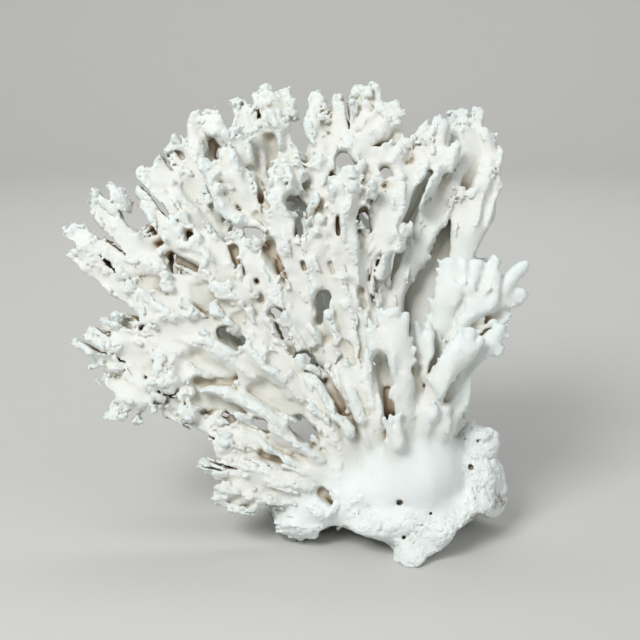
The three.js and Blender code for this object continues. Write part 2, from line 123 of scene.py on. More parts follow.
crown_left_limbs = [
    limb([(-38, 146, 3, 14, 9), (-55, 177, 8, 15, 9), (-78, 208, 9, 14, 8), (-92, 228, 6, 12, 7)]),
    limb([(-88, 214, 12, 10, 6), (-99, 231, 14, 9, 5), (-105, 238, 14, 6, 4)], spread=40),
    limb([(-84, 200, 13, 7, 5), (-103, 213, 16, 5, 4), (-113, 224, 16, 4, 3)], spread=50),
    limb([(-87, 221, -2, 10, 7), (-94, 250, -4, 12, 7), (-97, 272, -6, 13, 5)], spread=75),
    limb([(-79, 226, 0, 8, 6), (-81, 255, -3, 6, 5), (-82, 277, -5, 6, 4)], spread=45),
    limb([(-72, 225, 4, 7, 6), (-72, 252, 0, 5, 5), (-70, 277, -3, 5, 4)], spread=50),
    limb([(-67, 190, 12, 11, 7), (-71, 208, 16, 11, 7), (-71, 225, 18, 8, 5)], spread=35),
    limb([(-64, 205, -2, 9, 7), (-66, 240, 4, 6, 5), (-66, 264, 5, 5, 4)], spread=55),
]

crown_limbs = [
    limb([(-21, 143, 3, 14, 9), (-34, 176, 8, 15, 9), (-45, 208, 8, 13, 8), (-50, 236, 2, 9, 6)]),
    limb([(-50, 226, 0, 9, 6), (-50, 255, -4, 7, 5), (-50, 279, -6, 7, 4)], spread=50),
    limb([(-42, 225, 2, 7, 5), (-38, 255, 0, 5, 4), (-37, 275, -2, 4, 3)], spread=30),
    limb([(-24, 196, -2, 11, 8), (-23, 240, -3, 10, 7), (-20, 280, -5, 9, 5)], spread=55),
    limb([(-42, 232, 4, 9, 5), (-24, 254, 4, 9, 5), (-4, 269, 4, 7, 3)], spread=40),
    limb([(-20, 212, 4, 10, 7), (-8, 240, 5, 9, 6), (3, 256, 4, 6, 4)], spread=50),
    limb([(-33, 176, 12, 11, 7), (-34, 202, 18, 10, 7), (-33, 220, 22, 8, 5)], spread=30),
    limb([(-50, 174, 10, 10, 7), (-51, 192, 15, 9, 6), (-50, 202, 17, 8, 5)], spread=40),
]

centre_limbs = [
    limb([(-30, 138, 4, 12, 9), (-31, 160, 6, 10, 8), (-24, 184, 8, 11, 7), (-9, 208, 8, 12, 6),
          (8, 232, 7, 11, 5), (26, 247, 3, 7, 4)]),
    limb([(2, 222, 0, 9, 6), (14, 247, -1, 9, 5), (19, 262, -2, 8, 4)]),
]

front_limbs = [
    limb([(4, 60, 4, 9, 7), (1, 84, 17, 9, 7), (-2, 105, 25, 8, 6), (-6, 128, 29, 12, 6),
          (-9, 141, 29, 13, 5)]),
    limb([(5, 78, 6, 8, 5), (8, 104, 17, 6, 5), (12, 124, 20, 5, 5), (13, 140, 20, 5, 4)]),
    limb([(8, 62, 4, 9, 6), (13, 90, 18, 8, 6), (18, 108, 24, 7, 6), (27, 125, 28, 8, 6),
          (35, 134, 28, 9, 5)]),
    limb([(14, 64, 0, 11, 6), (24, 92, 10, 11, 6), (34, 109, 12, 10, 6), (48, 128, 14, 8, 5),
          (59, 144, 14, 5, 4)]),
    limb([(0, 56, 12, 6, 5), (-3, 72, 22, 6, 5), (-5, 86, 27, 5, 4)]),
    limb([(19, 66, 6, 6, 5), (22, 84, 15, 5, 4), (25, 98, 20, 4, 4)]),
]

right_limbs = [
    limb([(14, 86, -2, 13, 8), (30, 132, 6, 15, 8), (38, 158, 10, 17, 8), (43, 179, 11, 17, 6)]),
    limb([(36, 130, 2, 10, 7), (54, 152, 4, 11, 6), (67, 169, 4, 10, 5)]),
    limb([(28, 136, 8, 9, 6), (25, 158, 9, 7, 5), (29, 176, 9, 6, 4)]),
]

back_plate_limbs = [
    limb([(-14, 100, -6, 9, 8), (-15, 156, -5, 6, 7), (-13, 175, -4, 6, 7), (-6, 203, -4, 6, 6),
          (4, 222, -4, 5, 5)]),
    limb([(-2, 98, -12, 11, 9), (-3, 156, -9, 7, 8), (7, 185, -9, 9, 7), (14, 203, -9, 10, 7),
          (30, 227, -10, 11, 7), (39, 244, -13, 9, 6), (41, 264, -16, 7, 5)]),
    limb([(28, 96, -12, 13, 9), (36, 160, -9, 9, 8), (41, 189, -8, 10, 7), (43, 208, -8, 11, 7),
          (49, 224, -10, 10, 6), (54, 238, -12, 8, 6), (54, 264, -16, 5, 4)]),
    limb([(40, 150, -20, 9, 5), (53, 210, -22, 8, 4), (59, 254, -24, 5, 3)]),
]

rear_left_limbs = [
    limb([(-16, 74, -26, 17, 12), (-62, 110, -40, 13, 9), (-102, 140, -48, 11, 7), (-134, 160, -52, 9, 5)]),
    limb([(-56, 106, -38, 11, 8), (-100, 112, -46, 9, 6), (-130, 116, -48, 8, 4)]),
    limb([(-66, 112, -42, 11, 8), (-96, 160, -58, 9, 6), (-112, 190, -64, 8, 4)]),
]

rear_crown_limbs = [
    limb([(-14, 84, -28, 17, 12), (-40, 140, -42, 13, 9), (-62, 190, -50, 11, 7), (-78, 228, -52, 9, 5)],
         spread=55),
    limb([(-38, 136, -42, 11, 8), (-34, 190, -52, 10, 7), (-30, 236, -54, 8, 5)], spread=55),
    limb([(-28, 112, -38, 12, 8), (-46, 160, -66, 9, 6), (-52, 190, -78, 8, 4)]),
]

rear_right_limbs = [
    limb([(0, 78, -34, 16, 12), (12, 120, -58, 12, 8), (18, 156, -70, 10, 6), (22, 186, -74, 8, 4)]),
    limb([(6, 98, -46, 11, 8), (34, 132, -66, 9, 6), (48, 158, -72, 8, 4)]),
]

boughs = {
    "trunk": trunk_limbs, "left_bough": left_limbs, "lower_left_bough": lower_left_limbs,
    "upper_left_bough": upper_left_limbs, "crown_left_bough": crown_left_limbs,
    "crown_bough": crown_limbs, "centre_bough": centre_limbs, "front_bough": front_limbs,
    "right_bough": right_limbs, "back_plate_bough": back_plate_limbs,
    "rear_left_bough": rear_left_limbs, "rear_crown_bough": rear_crown_limbs,
    "rear_right_bough": rear_right_limbs,
}


def smooth_path(stations, steps=5):
    """The stations with a smooth curve through them, as rows of five values."""
    rows = np.array(stations, float)
    ends = np.vstack([2 * rows[0] - rows[1], rows, 2 * rows[-1] - rows[-2]])
    t = np.linspace(0, 1, steps, endpoint=False)[:, None]
    spans = [
        0.5 * (2 * b + (c - a) * t + (2 * a - 5 * b + 4 * c - d) * t**2 + (3 * b - a - 3 * c + d) * t**3)
        for a, b, c, d in zip(ends, ends[1:], ends[2:], ends[3:])
    ]
    return np.vstack([*spans, rows[-1:]])


def face_frame(along):
    """The directions across and out of a limb's flat face, all in the fan's frame."""
    across = np.cross(along, (0, 0, 1))
    across /= np.linalg.norm(across)
    return across, np.cross(across, along)


def limb_course(stations, steps=5):
    """A limb's smooth path, and the directions along it, across it and out of its face at each step."""
    path = smooth_path(stations, steps)
    along = np.gradient(path[:, :3], axis=0)
    along /= np.linalg.norm(along, axis=1, keepdims=True)
    across, out = np.array([face_frame(way) for way in along]).transpose(1, 0, 2)
    return path, along, across, out


def part_of_space(low, high):
    """The slices of the block between two corners, and the places of its points."""
    first = np.maximum(np.floor((low - ORIGIN) / PITCH), 0).astype(int)
    last = np.minimum(np.ceil((high - ORIGIN) / PITCH).astype(int) + 1, SHAPE)
    last = np.maximum(last, first + 1)
    slices = tuple(slice(a, b) for a, b in zip(first, last))
    axes = [(ORIGIN[k] + PITCH * np.arange(first[k], last[k])).astype(np.float32) for k in range(3)]
    return slices, axes[0][:, None, None], axes[1][None, :, None], axes[2][None, None, :]


def joined(one, other, blend):
    """Two distances as one, with a fillet about `blend` mm wide where the surfaces meet."""
    near = np.maximum(blend - np.abs(one - other), 0)
    return np.minimum(one, other) - near * near * np.float32(0.25 / blend)


EDGE = 0.5  # a limb's edge is this much as thick as its middle


def grow_blade(space, course):
    """Writes the flat web of a limb into an empty block of space. Returns the limb's own slices."""
    path, _, across_all, out_all = course
    places = in_world(path[:, :3])
    reach = path[:, 3].max() + 5
    for i in range(len(path) - 1):
        along = places[i + 1] - places[i]
        length = np.linalg.norm(along)
        along /= length
        across = fan @ across_all[i]
        out = np.cross(across, along)
        corners = places[i:i + 2]
        slices, x, y, z = part_of_space(corners.min(0) - reach, corners.max(0) + reach)
        x, y, z = x - places[i][0], y - places[i][1], z - places[i][2]
        run = x * along[0] + y * along[1] + z * along[2]
        side = np.abs(x * across[0] + y * across[1] + z * across[2])
        rise = np.abs(x * out[0] + y * out[1] + z * out[2])
        t = np.clip(run / length, 0, 1)
        beyond = run - t * length
        wide = path[i, 3] + (path[i + 1, 3] - path[i, 3]) * t
        thick = path[i, 4] + (path[i + 1, 4] - path[i, 4]) * t
        edge = EDGE * thick
        dome = (thick - edge) * np.maximum(1 - (side / wide) ** 2, 0)
        side = np.maximum(side - (wide - edge), 0)
        rise = np.maximum(rise - dome, 0)
        distance = np.sqrt(side * side + rise * rise + beyond * beyond) - edge
        space[slices] = np.minimum(space[slices], distance)
    return part_of_space(places.min(0) - reach, places.max(0) + reach)[0]


def cone(start, end, root, tip, reach):
    """The distance to a tapered round rod between two places, and the slices that it is worked out in."""
    slices, x, y, z = part_of_space(np.minimum(start, end) - reach, np.maximum(start, end) + reach)
    x, y, z = x - start[0], y - start[1], z - start[2]
    along = end - start
    t = np.clip((x * along[0] + y * along[1] + z * along[2]) / (along @ along), 0, 1)
    x, y, z = x - t * along[0], y - t * along[1], z - t * along[2]
    return slices, np.sqrt(x * x + y * y + z * z) - (root + (tip - root) * t)


def grow_strand(space, rows):
    """Writes a round strand into an empty block of space, from rows of u, v, w and radius."""
    places, radii = in_world(rows[:, :3]), rows[:, 3]
    reach = radii.max() + 5
    for start, end, root, tip in zip(places, places[1:], radii, radii[1:]):
        slices, distance = cone(start, end, root, tip, reach)
        space[slices] = np.minimum(space[slices], distance)
    return part_of_space(places.min(0) - reach, places.max(0) + reach)[0]


# The fan's outline as it shows from the front, in mm in the plane through the trunk, clockwise
outline = [
    # the left foot and the lower left limbs
    (-76, 41), (-79, 40), (-83, 35), (-90, 34), (-100, 35), (-103, 38), (-110, 40), (-110, 48), (-104, 53),
    (-110, 54), (-112, 59), (-118, 66), (-107, 64), (-110, 68), (-110, 73), (-112, 77), (-115, 82),
    (-123, 83), (-130, 86), (-125, 89), (-133, 89), (-136, 90), (-145, 88), (-142, 94),
    (-146, 98), (-142, 99), (-138, 100),
    # the left end and the upper left
    (-139, 104), (-143, 109), (-146, 104), (-150, 100), (-152, 101), (-152, 89), (-159, 88), (-160, 94),
    (-165, 92), (-168, 89), (-171, 91), (-174, 92), (-175, 98), (-170, 102), (-170, 107), (-173, 107),
    (-175, 113), (-178, 118), (-178, 122), (-182, 120), (-186, 120), (-185, 123), (-186, 125), (-182, 129),
    (-189, 130), (-194, 133), (-194, 136), (-190, 139), (-185, 145), (-182, 145), (-180, 141), (-176, 137),
    (-172, 137), (-173, 142), (-180, 144), (-181, 149), (-175, 151), (-171, 154), (-167, 155), (-164, 154),
    (-170, 158), (-175, 161), (-177, 163), (-190, 163), (-195, 166), (-197, 169), (-194, 172), (-195, 176),
    (-202, 181), (-201, 187), (-197, 190), (-192, 190), (-189, 185), (-183, 183), (-178, 180), (-175, 181),
    (-176, 184), (-182, 188), (-190, 189), (-193, 191), (-193, 195), (-199, 199), (-197, 203), (-194, 205),
    (-191, 205), (-189, 207), (-187, 205), (-187, 202), (-183, 201), (-181, 198), (-177, 197), (-178, 201),
    (-176, 203), (-179, 206), (-181, 211), (-182, 217), (-182, 223), (-178, 227), (-173, 229), (-169, 224),
    (-167, 227), (-165, 223), (-164, 215), (-163, 207), (-160, 208), (-155, 208), (-154, 215), (-151, 217),
    (-148, 215), (-145, 214), (-144, 217), (-142, 218), (-145, 219), (-150, 220), (-152, 222), (-154, 227),
    (-150, 229), (-152, 233), (-149, 235), (-152, 238), (-148, 241), (-146, 246), (-142, 247), (-143, 250),
    (-140, 254), (-135, 255), (-137, 262), (-137, 266), (-134, 265), (-131, 259), (-128, 259), (-127, 269),
    (-126, 272), (-122, 271), (-120, 266), (-118, 270), (-115, 273), (-113, 269), (-111, 265), (-110, 269),
    (-107, 272), (-106, 280), (-102, 280), (-97, 282), (-94, 280), (-92, 277), (-89, 277), (-87, 273),
    (-86, 278), (-88, 283), (-84, 284), (-81, 287), (-79, 286), (-78, 280), (-77, 276), (-75, 282),
    (-71, 286), (-68, 286), (-68, 280), (-65, 280), (-65, 274), (-62, 274), (-61, 269), (-59, 263),
    (-56, 265), (-54, 271), (-53, 277), (-55, 281), (-53, 287), (-46, 287), (-45, 283), (-44, 277),
    (-42, 277), (-41, 274), (-40, 281), (-38, 284), (-35, 283), (-35, 271), (-32, 275), (-29, 276),
    (-28, 282), (-26, 289), (-23, 290), (-20, 293),
    # from the top down the right, to the lobe
    (-16, 292), (-13, 290), (-11, 284), (-11, 278), (-7, 279), (-2, 281), (0, 279), (1, 276), (4, 277),
    (4, 273), (1, 268), (2, 263), (3, 257), (7, 256), (10, 261), (11, 266), (16, 269), (18, 266), (20, 271),
    (25, 270), (27, 266), (30, 269), (33, 269), (34, 275), (39, 275), (41, 267), (44, 267), (46, 276),
    (49, 277), (51, 271), (52, 265), (54, 263), (57, 263), (59, 251), (61, 239), (60, 227), (56, 221),
    (56, 209), (51, 200), (47, 191), (46, 187), (53, 187), (56, 189), (59, 187), (64, 182), (68, 182),
    (73, 185), (77, 185), (77, 179), (73, 169), (76, 169), (76, 163), (71, 157), (66, 154), (68, 152),
    (64, 143), (65, 139), (61, 135), (62, 128), (54, 126), (48, 121), (44, 116), (43, 109), (41, 100),
    (44, 95), (44, 89), (43, 85), (48, 85), (54, 83), (58, 80), (60, 71), (60, 62), (64, 53), (65, 47),
    (64, 37), (62, 33), (58, 31), (54, 31), (48, 33), (42, 29), (37, 25), (31, 18), (24, 11), (16, 7),
    # the front foot and back along the crust
    (12, 2), (7, 0), (3, -1), (-2, 2), (-4, 5), (-5, 10), (-7, 16), (-17, 19), (-25, 21), (-29, 23),
    (-34, 20), (-37, 22), (-37, 27), (-42, 26), (-49, 23), (-50, 19), (-64, 17), (-68, 21),
    (-73, 21), (-73, 23), (-74, 35),
]
EYE = (-48, 149, 640)  # mm: the camera, in the fan's frame
RASTER = (-230, -30)  # mm: the lowest u and v of a raster with a point every mm
raster_u, raster_v = np.meshgrid(np.arange(RASTER[0], 100.0), np.arange(RASTER[1], 310.0), indexing="ij")
squared = np.full(raster_u.shape, 1e6)
inside = np.zeros(raster_u.shape, bool)
for (u0, v0), (u1, v1) in zip(outline, outline[1:] + outline[:1]):
    run = (u1 - u0, v1 - v0)
    t = np.clip(((raster_u - u0) * run[0] + (raster_v - v0) * run[1]) / (run[0] ** 2 + run[1] ** 2), 0, 1)
    squared = np.minimum(squared, (raster_u - u0 - t * run[0]) ** 2 + (raster_v - v0 - t * run[1]) ** 2)
    if run[1]:
        inside ^= ((v0 > raster_v) != (v1 > raster_v)) & (raster_u < u0 + (raster_v - v0) * run[0] / run[1])
past_edge = np.where(inside, -1, 1) * np.sqrt(squared)


def past_outline(points):
    """How far places in the fan's frame show outside its outline, in mm, and below 0 inside it."""
    points = np.asarray(points, float)
    scale = EYE[2] / (EYE[2] - points[:, 2])
    place = np.stack([EYE[k] + (points[:, k] - EYE[k]) * scale - RASTER[k] for k in (0, 1)], -1)
    first = np.clip(place.astype(int), 0, np.array(past_edge.shape) - 2)
    (a, b), (s, t) = first.T, (place - first).T
    return ((past_edge[a, b] * (1 - s) + past_edge[a + 1, b] * s) * (1 - t)
            + (past_edge[a, b + 1] * (1 - s) + past_edge[a + 1, b + 1] * s) * t)


def held_in(start, tip):
    """A finger's tip, moved back until it shows inside the outline, or None where that leaves no finger."""
    for share in (1, 0.75, 0.5, 0.3):
        end = start + (tip - start) * share
        if past_outline(end[None])[0] < 0.5:
            return end
    return None


# A limb is a blade that strands rise out of towards its end, where each of them becomes a finger.
rng = np.random.default_rng(5)
STRAND_SPACING, STRAND_RADIUS = 6.0, 2.8
FINGER_ROOT, FINGER_TIP, FINGER_LENGTH = 2.2, 1.4, 8.0


def strands_of(course, spread, fingered):
    """Yields a limb's strands as rows of u, v, w and radius, each with the finger it ends in, if any."""
    path, along, across, out = course
    wide, thick = path[:, 3], path[:, 4]
    travel = np.linspace(0, 1, len(path))
    rise = np.clip((travel - 0.25) / 0.5, 0, 1)
    count = max(2, round(2 * wide[len(wide) // 2] / STRAND_SPACING))
    for face in (1, -1):
        for k in range(count):
            side = 1.1 * ((2 * k + 1) / count - 1) + 0.4 / count * rng.uniform(-1, 1)
            side = min(max(side, -1), 1)
            radius = np.minimum(STRAND_RADIUS * rng.uniform(0.8, 1.2), 0.8 * thick)
            radius = radius + (FINGER_ROOT - radius) * travel**2
            turns = 2 * math.pi * (travel * rng.uniform(0.6, 1.6) + rng.random())
            radius = radius * (1 + 0.12 * np.sin(3.1 * turns + 6 * rng.random()))
            shift = side * (wide - radius) + 1.2 * np.sin(turns)
            proud = radius * (0.4 * rise - 0.1 if fingered else 0)
            lift = face * np.maximum(thick * math.sqrt(1 - 0.6 * side**2) - radius + proud, 0)
            places = path[:, :3] + across * shift[:, None] + out * (lift + 0.8 * np.cos(turns))[:, None]
            finger = None
            if fingered:
                angle = math.radians(spread * side + 12 * rng.uniform(-1, 1))
                way = (along[-1] * math.cos(angle) + across[-1] * math.sin(angle)
                       + out[-1] * (0.25 * face + 0.3 * rng.uniform(-1, 1)))
                way /= np.linalg.norm(way)
                finger = (places[-1], places[-1] + way * FINGER_LENGTH * rng.uniform(0.5, 1.1), out[-1])
            yield np.column_stack([places, radius]), finger


# Thin webs behind the limbs, where neighbours fused
webs = {
    "trunk": [[(-6, 70, 0, 26, 8), (-30, 110, 0, 30, 7), (-40, 140, 0, 28, 6)]],
    "left_bough": [[(-50, 104, -2, 20, 6), (-104, 130, 0, 20, 5), (-146, 138, 0, 15, 4)],
                   [(-60, 118, -2, 16, 6), (-110, 148, 0, 16, 5), (-150, 168, 0, 12, 4)]],
    "lower_left_bough": [[(-30, 70, 0, 18, 7), (-70, 72, 0, 18, 5), (-98, 80, 0, 14, 4)]],
    "upper_left_bough": [[(-56, 142, 0, 20, 6), (-100, 180, 1, 20, 5), (-130, 204, -1, 14, 4)]],
    "crown_left_bough": [[(-44, 146, 0, 18, 6), (-70, 196, 1, 18, 5), (-84, 232, -2, 14, 4)]],
    "crown_bough": [[(-26, 146, 0, 18, 6), (-42, 200, 1, 20, 5), (-44, 240, -4, 16, 4)]],
    "centre_bough": [[(-32, 140, 0, 14, 5), (-30, 184, 2, 14, 5), (-14, 222, -1, 14, 4)]],
    "back_plate_bough": [[(10, 100, -20, 24, 6), (16, 160, -21, 30, 5), (28, 212, -22, 27, 5),
                          (45, 254, -24, 13, 4)]],
}
WEB_FILLET, STRAND_FILLET, BOUGH_FILLET = 4.5, 2.5, 3
STRAND_COVER = 0.6  # mm: how much smaller a limb's blade is than the limb, so that strands stand out of it
FINGER_REACH = 30  # mm: no finger reaches further from its bough's stations
# The limbs of these boughs are slim and end in bunches of fingers; the others are broad and smooth
bushy = {"left_bough", "lower_left_bough", "upper_left_bough", "crown_left_bough", "crown_bough",
         "rear_left_bough", "rear_crown_bough", "rear_right_bough"}
SLIM = 0.85
skin = np.full(SHAPE, FAR, np.float32)
empty = np.full(SHAPE, FAR, np.float32)
own = {}
fingers = []
for name, limbs in boughs.items():
    bough = np.full(SHAPE, FAR, np.float32)
    for web in webs.get(name, []):
        slices = grow_blade(empty, limb_course(web))
        bough[slices] = joined(bough[slices], empty[slices], WEB_FILLET)
        empty[slices] = FAR
    for one in limbs:
        if name in bushy:
            one["stations"] = [(u, v, w, wide * SLIM, thick) for u, v, w, wide, thick in one["stations"]]
        course = limb_course(one["stations"])
        slices = grow_blade(empty, (course[0] - [0, 0, 0, STRAND_COVER, STRAND_COVER], *course[1:]))
        bough[slices] = joined(bough[slices], empty[slices], WEB_FILLET)
        empty[slices] = FAR
        for rows, finger in strands_of(course, one["spread"], name in bushy):
            slices = grow_strand(empty, rows)
            bough[slices] = joined(bough[slices], empty[slices], STRAND_FILLET)
            empty[slices] = FAR
            if finger:
                fingers.append((name, *finger))
    stations = np.vstack([one["stations"] for one in limbs])
    places = in_world(stations[:, :3])
    slices = part_of_space(places.min(0) - FINGER_REACH, places.max(0) + FINGER_REACH)[0]
    own[name] = (slices, bough[slices].copy())
    skin[slices] = joined(skin[slices], bough[slices], BOUGH_FILLET)
del bough, empty

# The holdfast: a smooth dome where the limbs run together, on a granular crust broken off the rock.
# It has a foot in front, another at the left and a rounded lobe at the right, and is cut flat to stand.
holdfast_lumps = [
    ((6, 56, -14), (36, 33, 40)), ((12, 33, -22), (46, 22, 42)), ((8, 10, 12), (13, 16, 13)),
    ((22, 24, 4), (22, 15, 20)), ((-4, 29, 6), (30, 12, 18)), ((40, 36, -8), (18, 16, 22)),
    ((48, 74, -12), (13, 12, 12)), ((44, 54, -14), (17, 18, 20)), ((56, 44, -22), (11, 20, 16)),
    ((-26, 44, 0), (24, 18, 17)), ((-56, 28, -12), (22, 12, 20)), ((-44, 38, -6), (26, 12, 18)),
    ((-46, 34, -50), (38, 20, 28)), ((4, 44, -56), (40, 27, 28)),
]


def lump(space, centre, half, blend):
    """Adds an egg with three half sizes, in the fan's frame."""
    half = np.array(half, float)
    place = in_world(centre)
    slices, x, y, z = part_of_space(place - half.max() - blend - 2, place + half.max() + blend + 2)
    x, y, z = x - place[0], y - place[1], z - place[2]
    u = x + 0 * (y + z)
    v = y * fan[1, 1] + z * fan[2, 1]
    w = y * fan[1, 2] + z * fan[2, 2]
    far = np.sqrt((u / half[0]) ** 2 + (v / half[1]) ** 2 + (w / half[2]) ** 2)
    steep = np.sqrt((u / half[0] ** 2) ** 2 + (v / half[1] ** 2) ** 2 + (w / half[2] ** 2) ** 2)
    distance = far * (far - 1) / np.maximum(steep, 1e-6)
    space[slices] = joined(space[slices], distance.astype(np.float32), blend)
    return slices


LUMP_FILLET, BASE_FILLET = 5, 7
LUMP_REACH = 60  # mm: no lump reaches further from the middles of the lumps
base = np.full(SHAPE, FAR, np.float32)
for centre, half in holdfast_lumps:
    lump(base, centre, half, LUMP_FILLET)
corners = np.array([in_world(centre) for centre, _ in holdfast_lumps])
slices = part_of_space(corners.min(0) - LUMP_REACH, corners.max(0) + LUMP_REACH)[0]
own["holdfast"] = (slices, base[slices].copy())
skin[slices] = joined(skin[slices], base[slices], BASE_FILLET)
del base


# Fingers, each ending in a few small blunt lobes
def add_to(name, start, end, root, tip, blend):
    """A rod on a bough, in mm: it goes into the skin and into the bough's own share of space."""
    slices, distance = cone(start, end, root, tip, max(root, tip) + blend + 1)
    skin[slices] = joined(skin[slices], distance, blend)
    box, space = own[name]
    inner = tuple(slice(max(s.start - b.start, 0), s.stop - b.start) for s, b in zip(slices, box))
    outer = tuple(slice(max(b.start - s.start, 0), max(b.start - s.start, 0) + i.stop - i.start)
                  for s, b, i in zip(slices, box, inner))
    part = space[inner]
    distance = distance[outer][:part.shape[0], :part.shape[1], :part.shape[2]]
    space[inner] = np.minimum(part, distance)


def add_finger(name, start, tip, out, root=FINGER_ROOT, end=FINGER_TIP, lobes=None):
    """A finger between two places in the fan's frame, with its lobes."""
    start, tip, out = in_world(start), in_world(tip), fan @ out
    way = (tip - start) / np.linalg.norm(tip - start)
    add_to(name, start, tip, root, end, 2.0)
    across = np.cross(way, out)
    across /= np.linalg.norm(across)
    lobes = rng.integers(4, 7) if lobes is None else lobes
    for k in range(lobes):  # from the tip down, each a third of a turn and more from the last
        angle = 2.3 * k + rng.uniform(-0.4, 0.4)
        ring = across * math.cos(angle) + np.cross(across, way) * math.sin(angle)
        course = way + ring * rng.uniform(0.5, 1.1)
        course /= np.linalg.norm(course)
        down = 0.8 + 0.9 * k
        base = tip - way * down + ring * end * 0.4
        length = end * 0.6 + rng.uniform(1.4, 2.6)
        add_to(name, base, base + course * length, 1.3, rng.uniform(0.9, 1.2), 0.7)


for name, start, tip, out in fingers:
    tip = held_in(start, tip)
    if tip is not None:
        add_finger(name, start, tip, out)

# Branchlets leave the slim limbs at both sides, each with two or three fingers of its own
BRANCHLET_SPACING = 11
for name, limbs in boughs.items():
    if name not in bushy:
        continue
    for one in limbs:
        path, along, across, out = limb_course(one["stations"], 12)
        travelled, side = 0.0, 1
        for i in range(len(path) // 2, len(path) - 1):
            travelled += np.linalg.norm(path[i, :3] - path[i - 1, :3])
            if travelled < BRANCHLET_SPACING * 0.6:
                continue
            travelled, side = rng.uniform(-2, 2), -side
            angle = math.radians(rng.uniform(28, 55))
            lean = out[i] * rng.uniform(-0.45, 0.6)
            way = along[i] * math.cos(angle) + across[i] * side * math.sin(angle) + lean
            way /= np.linalg.norm(way)
            start = (path[i, :3] + across[i] * side * path[i, 3] * rng.uniform(0.3, 0.7)
                     + out[i] * path[i, 4] * rng.uniform(-0.2, 0.5))
            length = rng.uniform(6, 12)
            middle = start + way * length * 0.5
            bend = way + along[i] * rng.uniform(0.1, 0.5)
            end = held_in(start, middle + bend / np.linalg.norm(bend) * length * 0.5)
            if end is None:
                continue
            thick = rng.uniform(2.8, 3.6)
            add_to(name, in_world(start), in_world(end), thick, thick * 0.8, 2.5)
            for spread in (-1, 0, 1)[:rng.integers(2, 4)]:
                angle = math.radians(38 * spread + 10 * rng.uniform(-1, 1))
                heading = (way * math.cos(angle) + np.cross(out[i], way) * math.sin(angle)
                           + out[i] * rng.uniform(-0.3, 0.4))
                heading /= np.linalg.norm(heading)
                tip = held_in(end - heading, end + heading * rng.uniform(3.5, 6))
                if tip is not None:
                    add_finger(name, end - heading, tip, out[i], 2.3, 1.6)

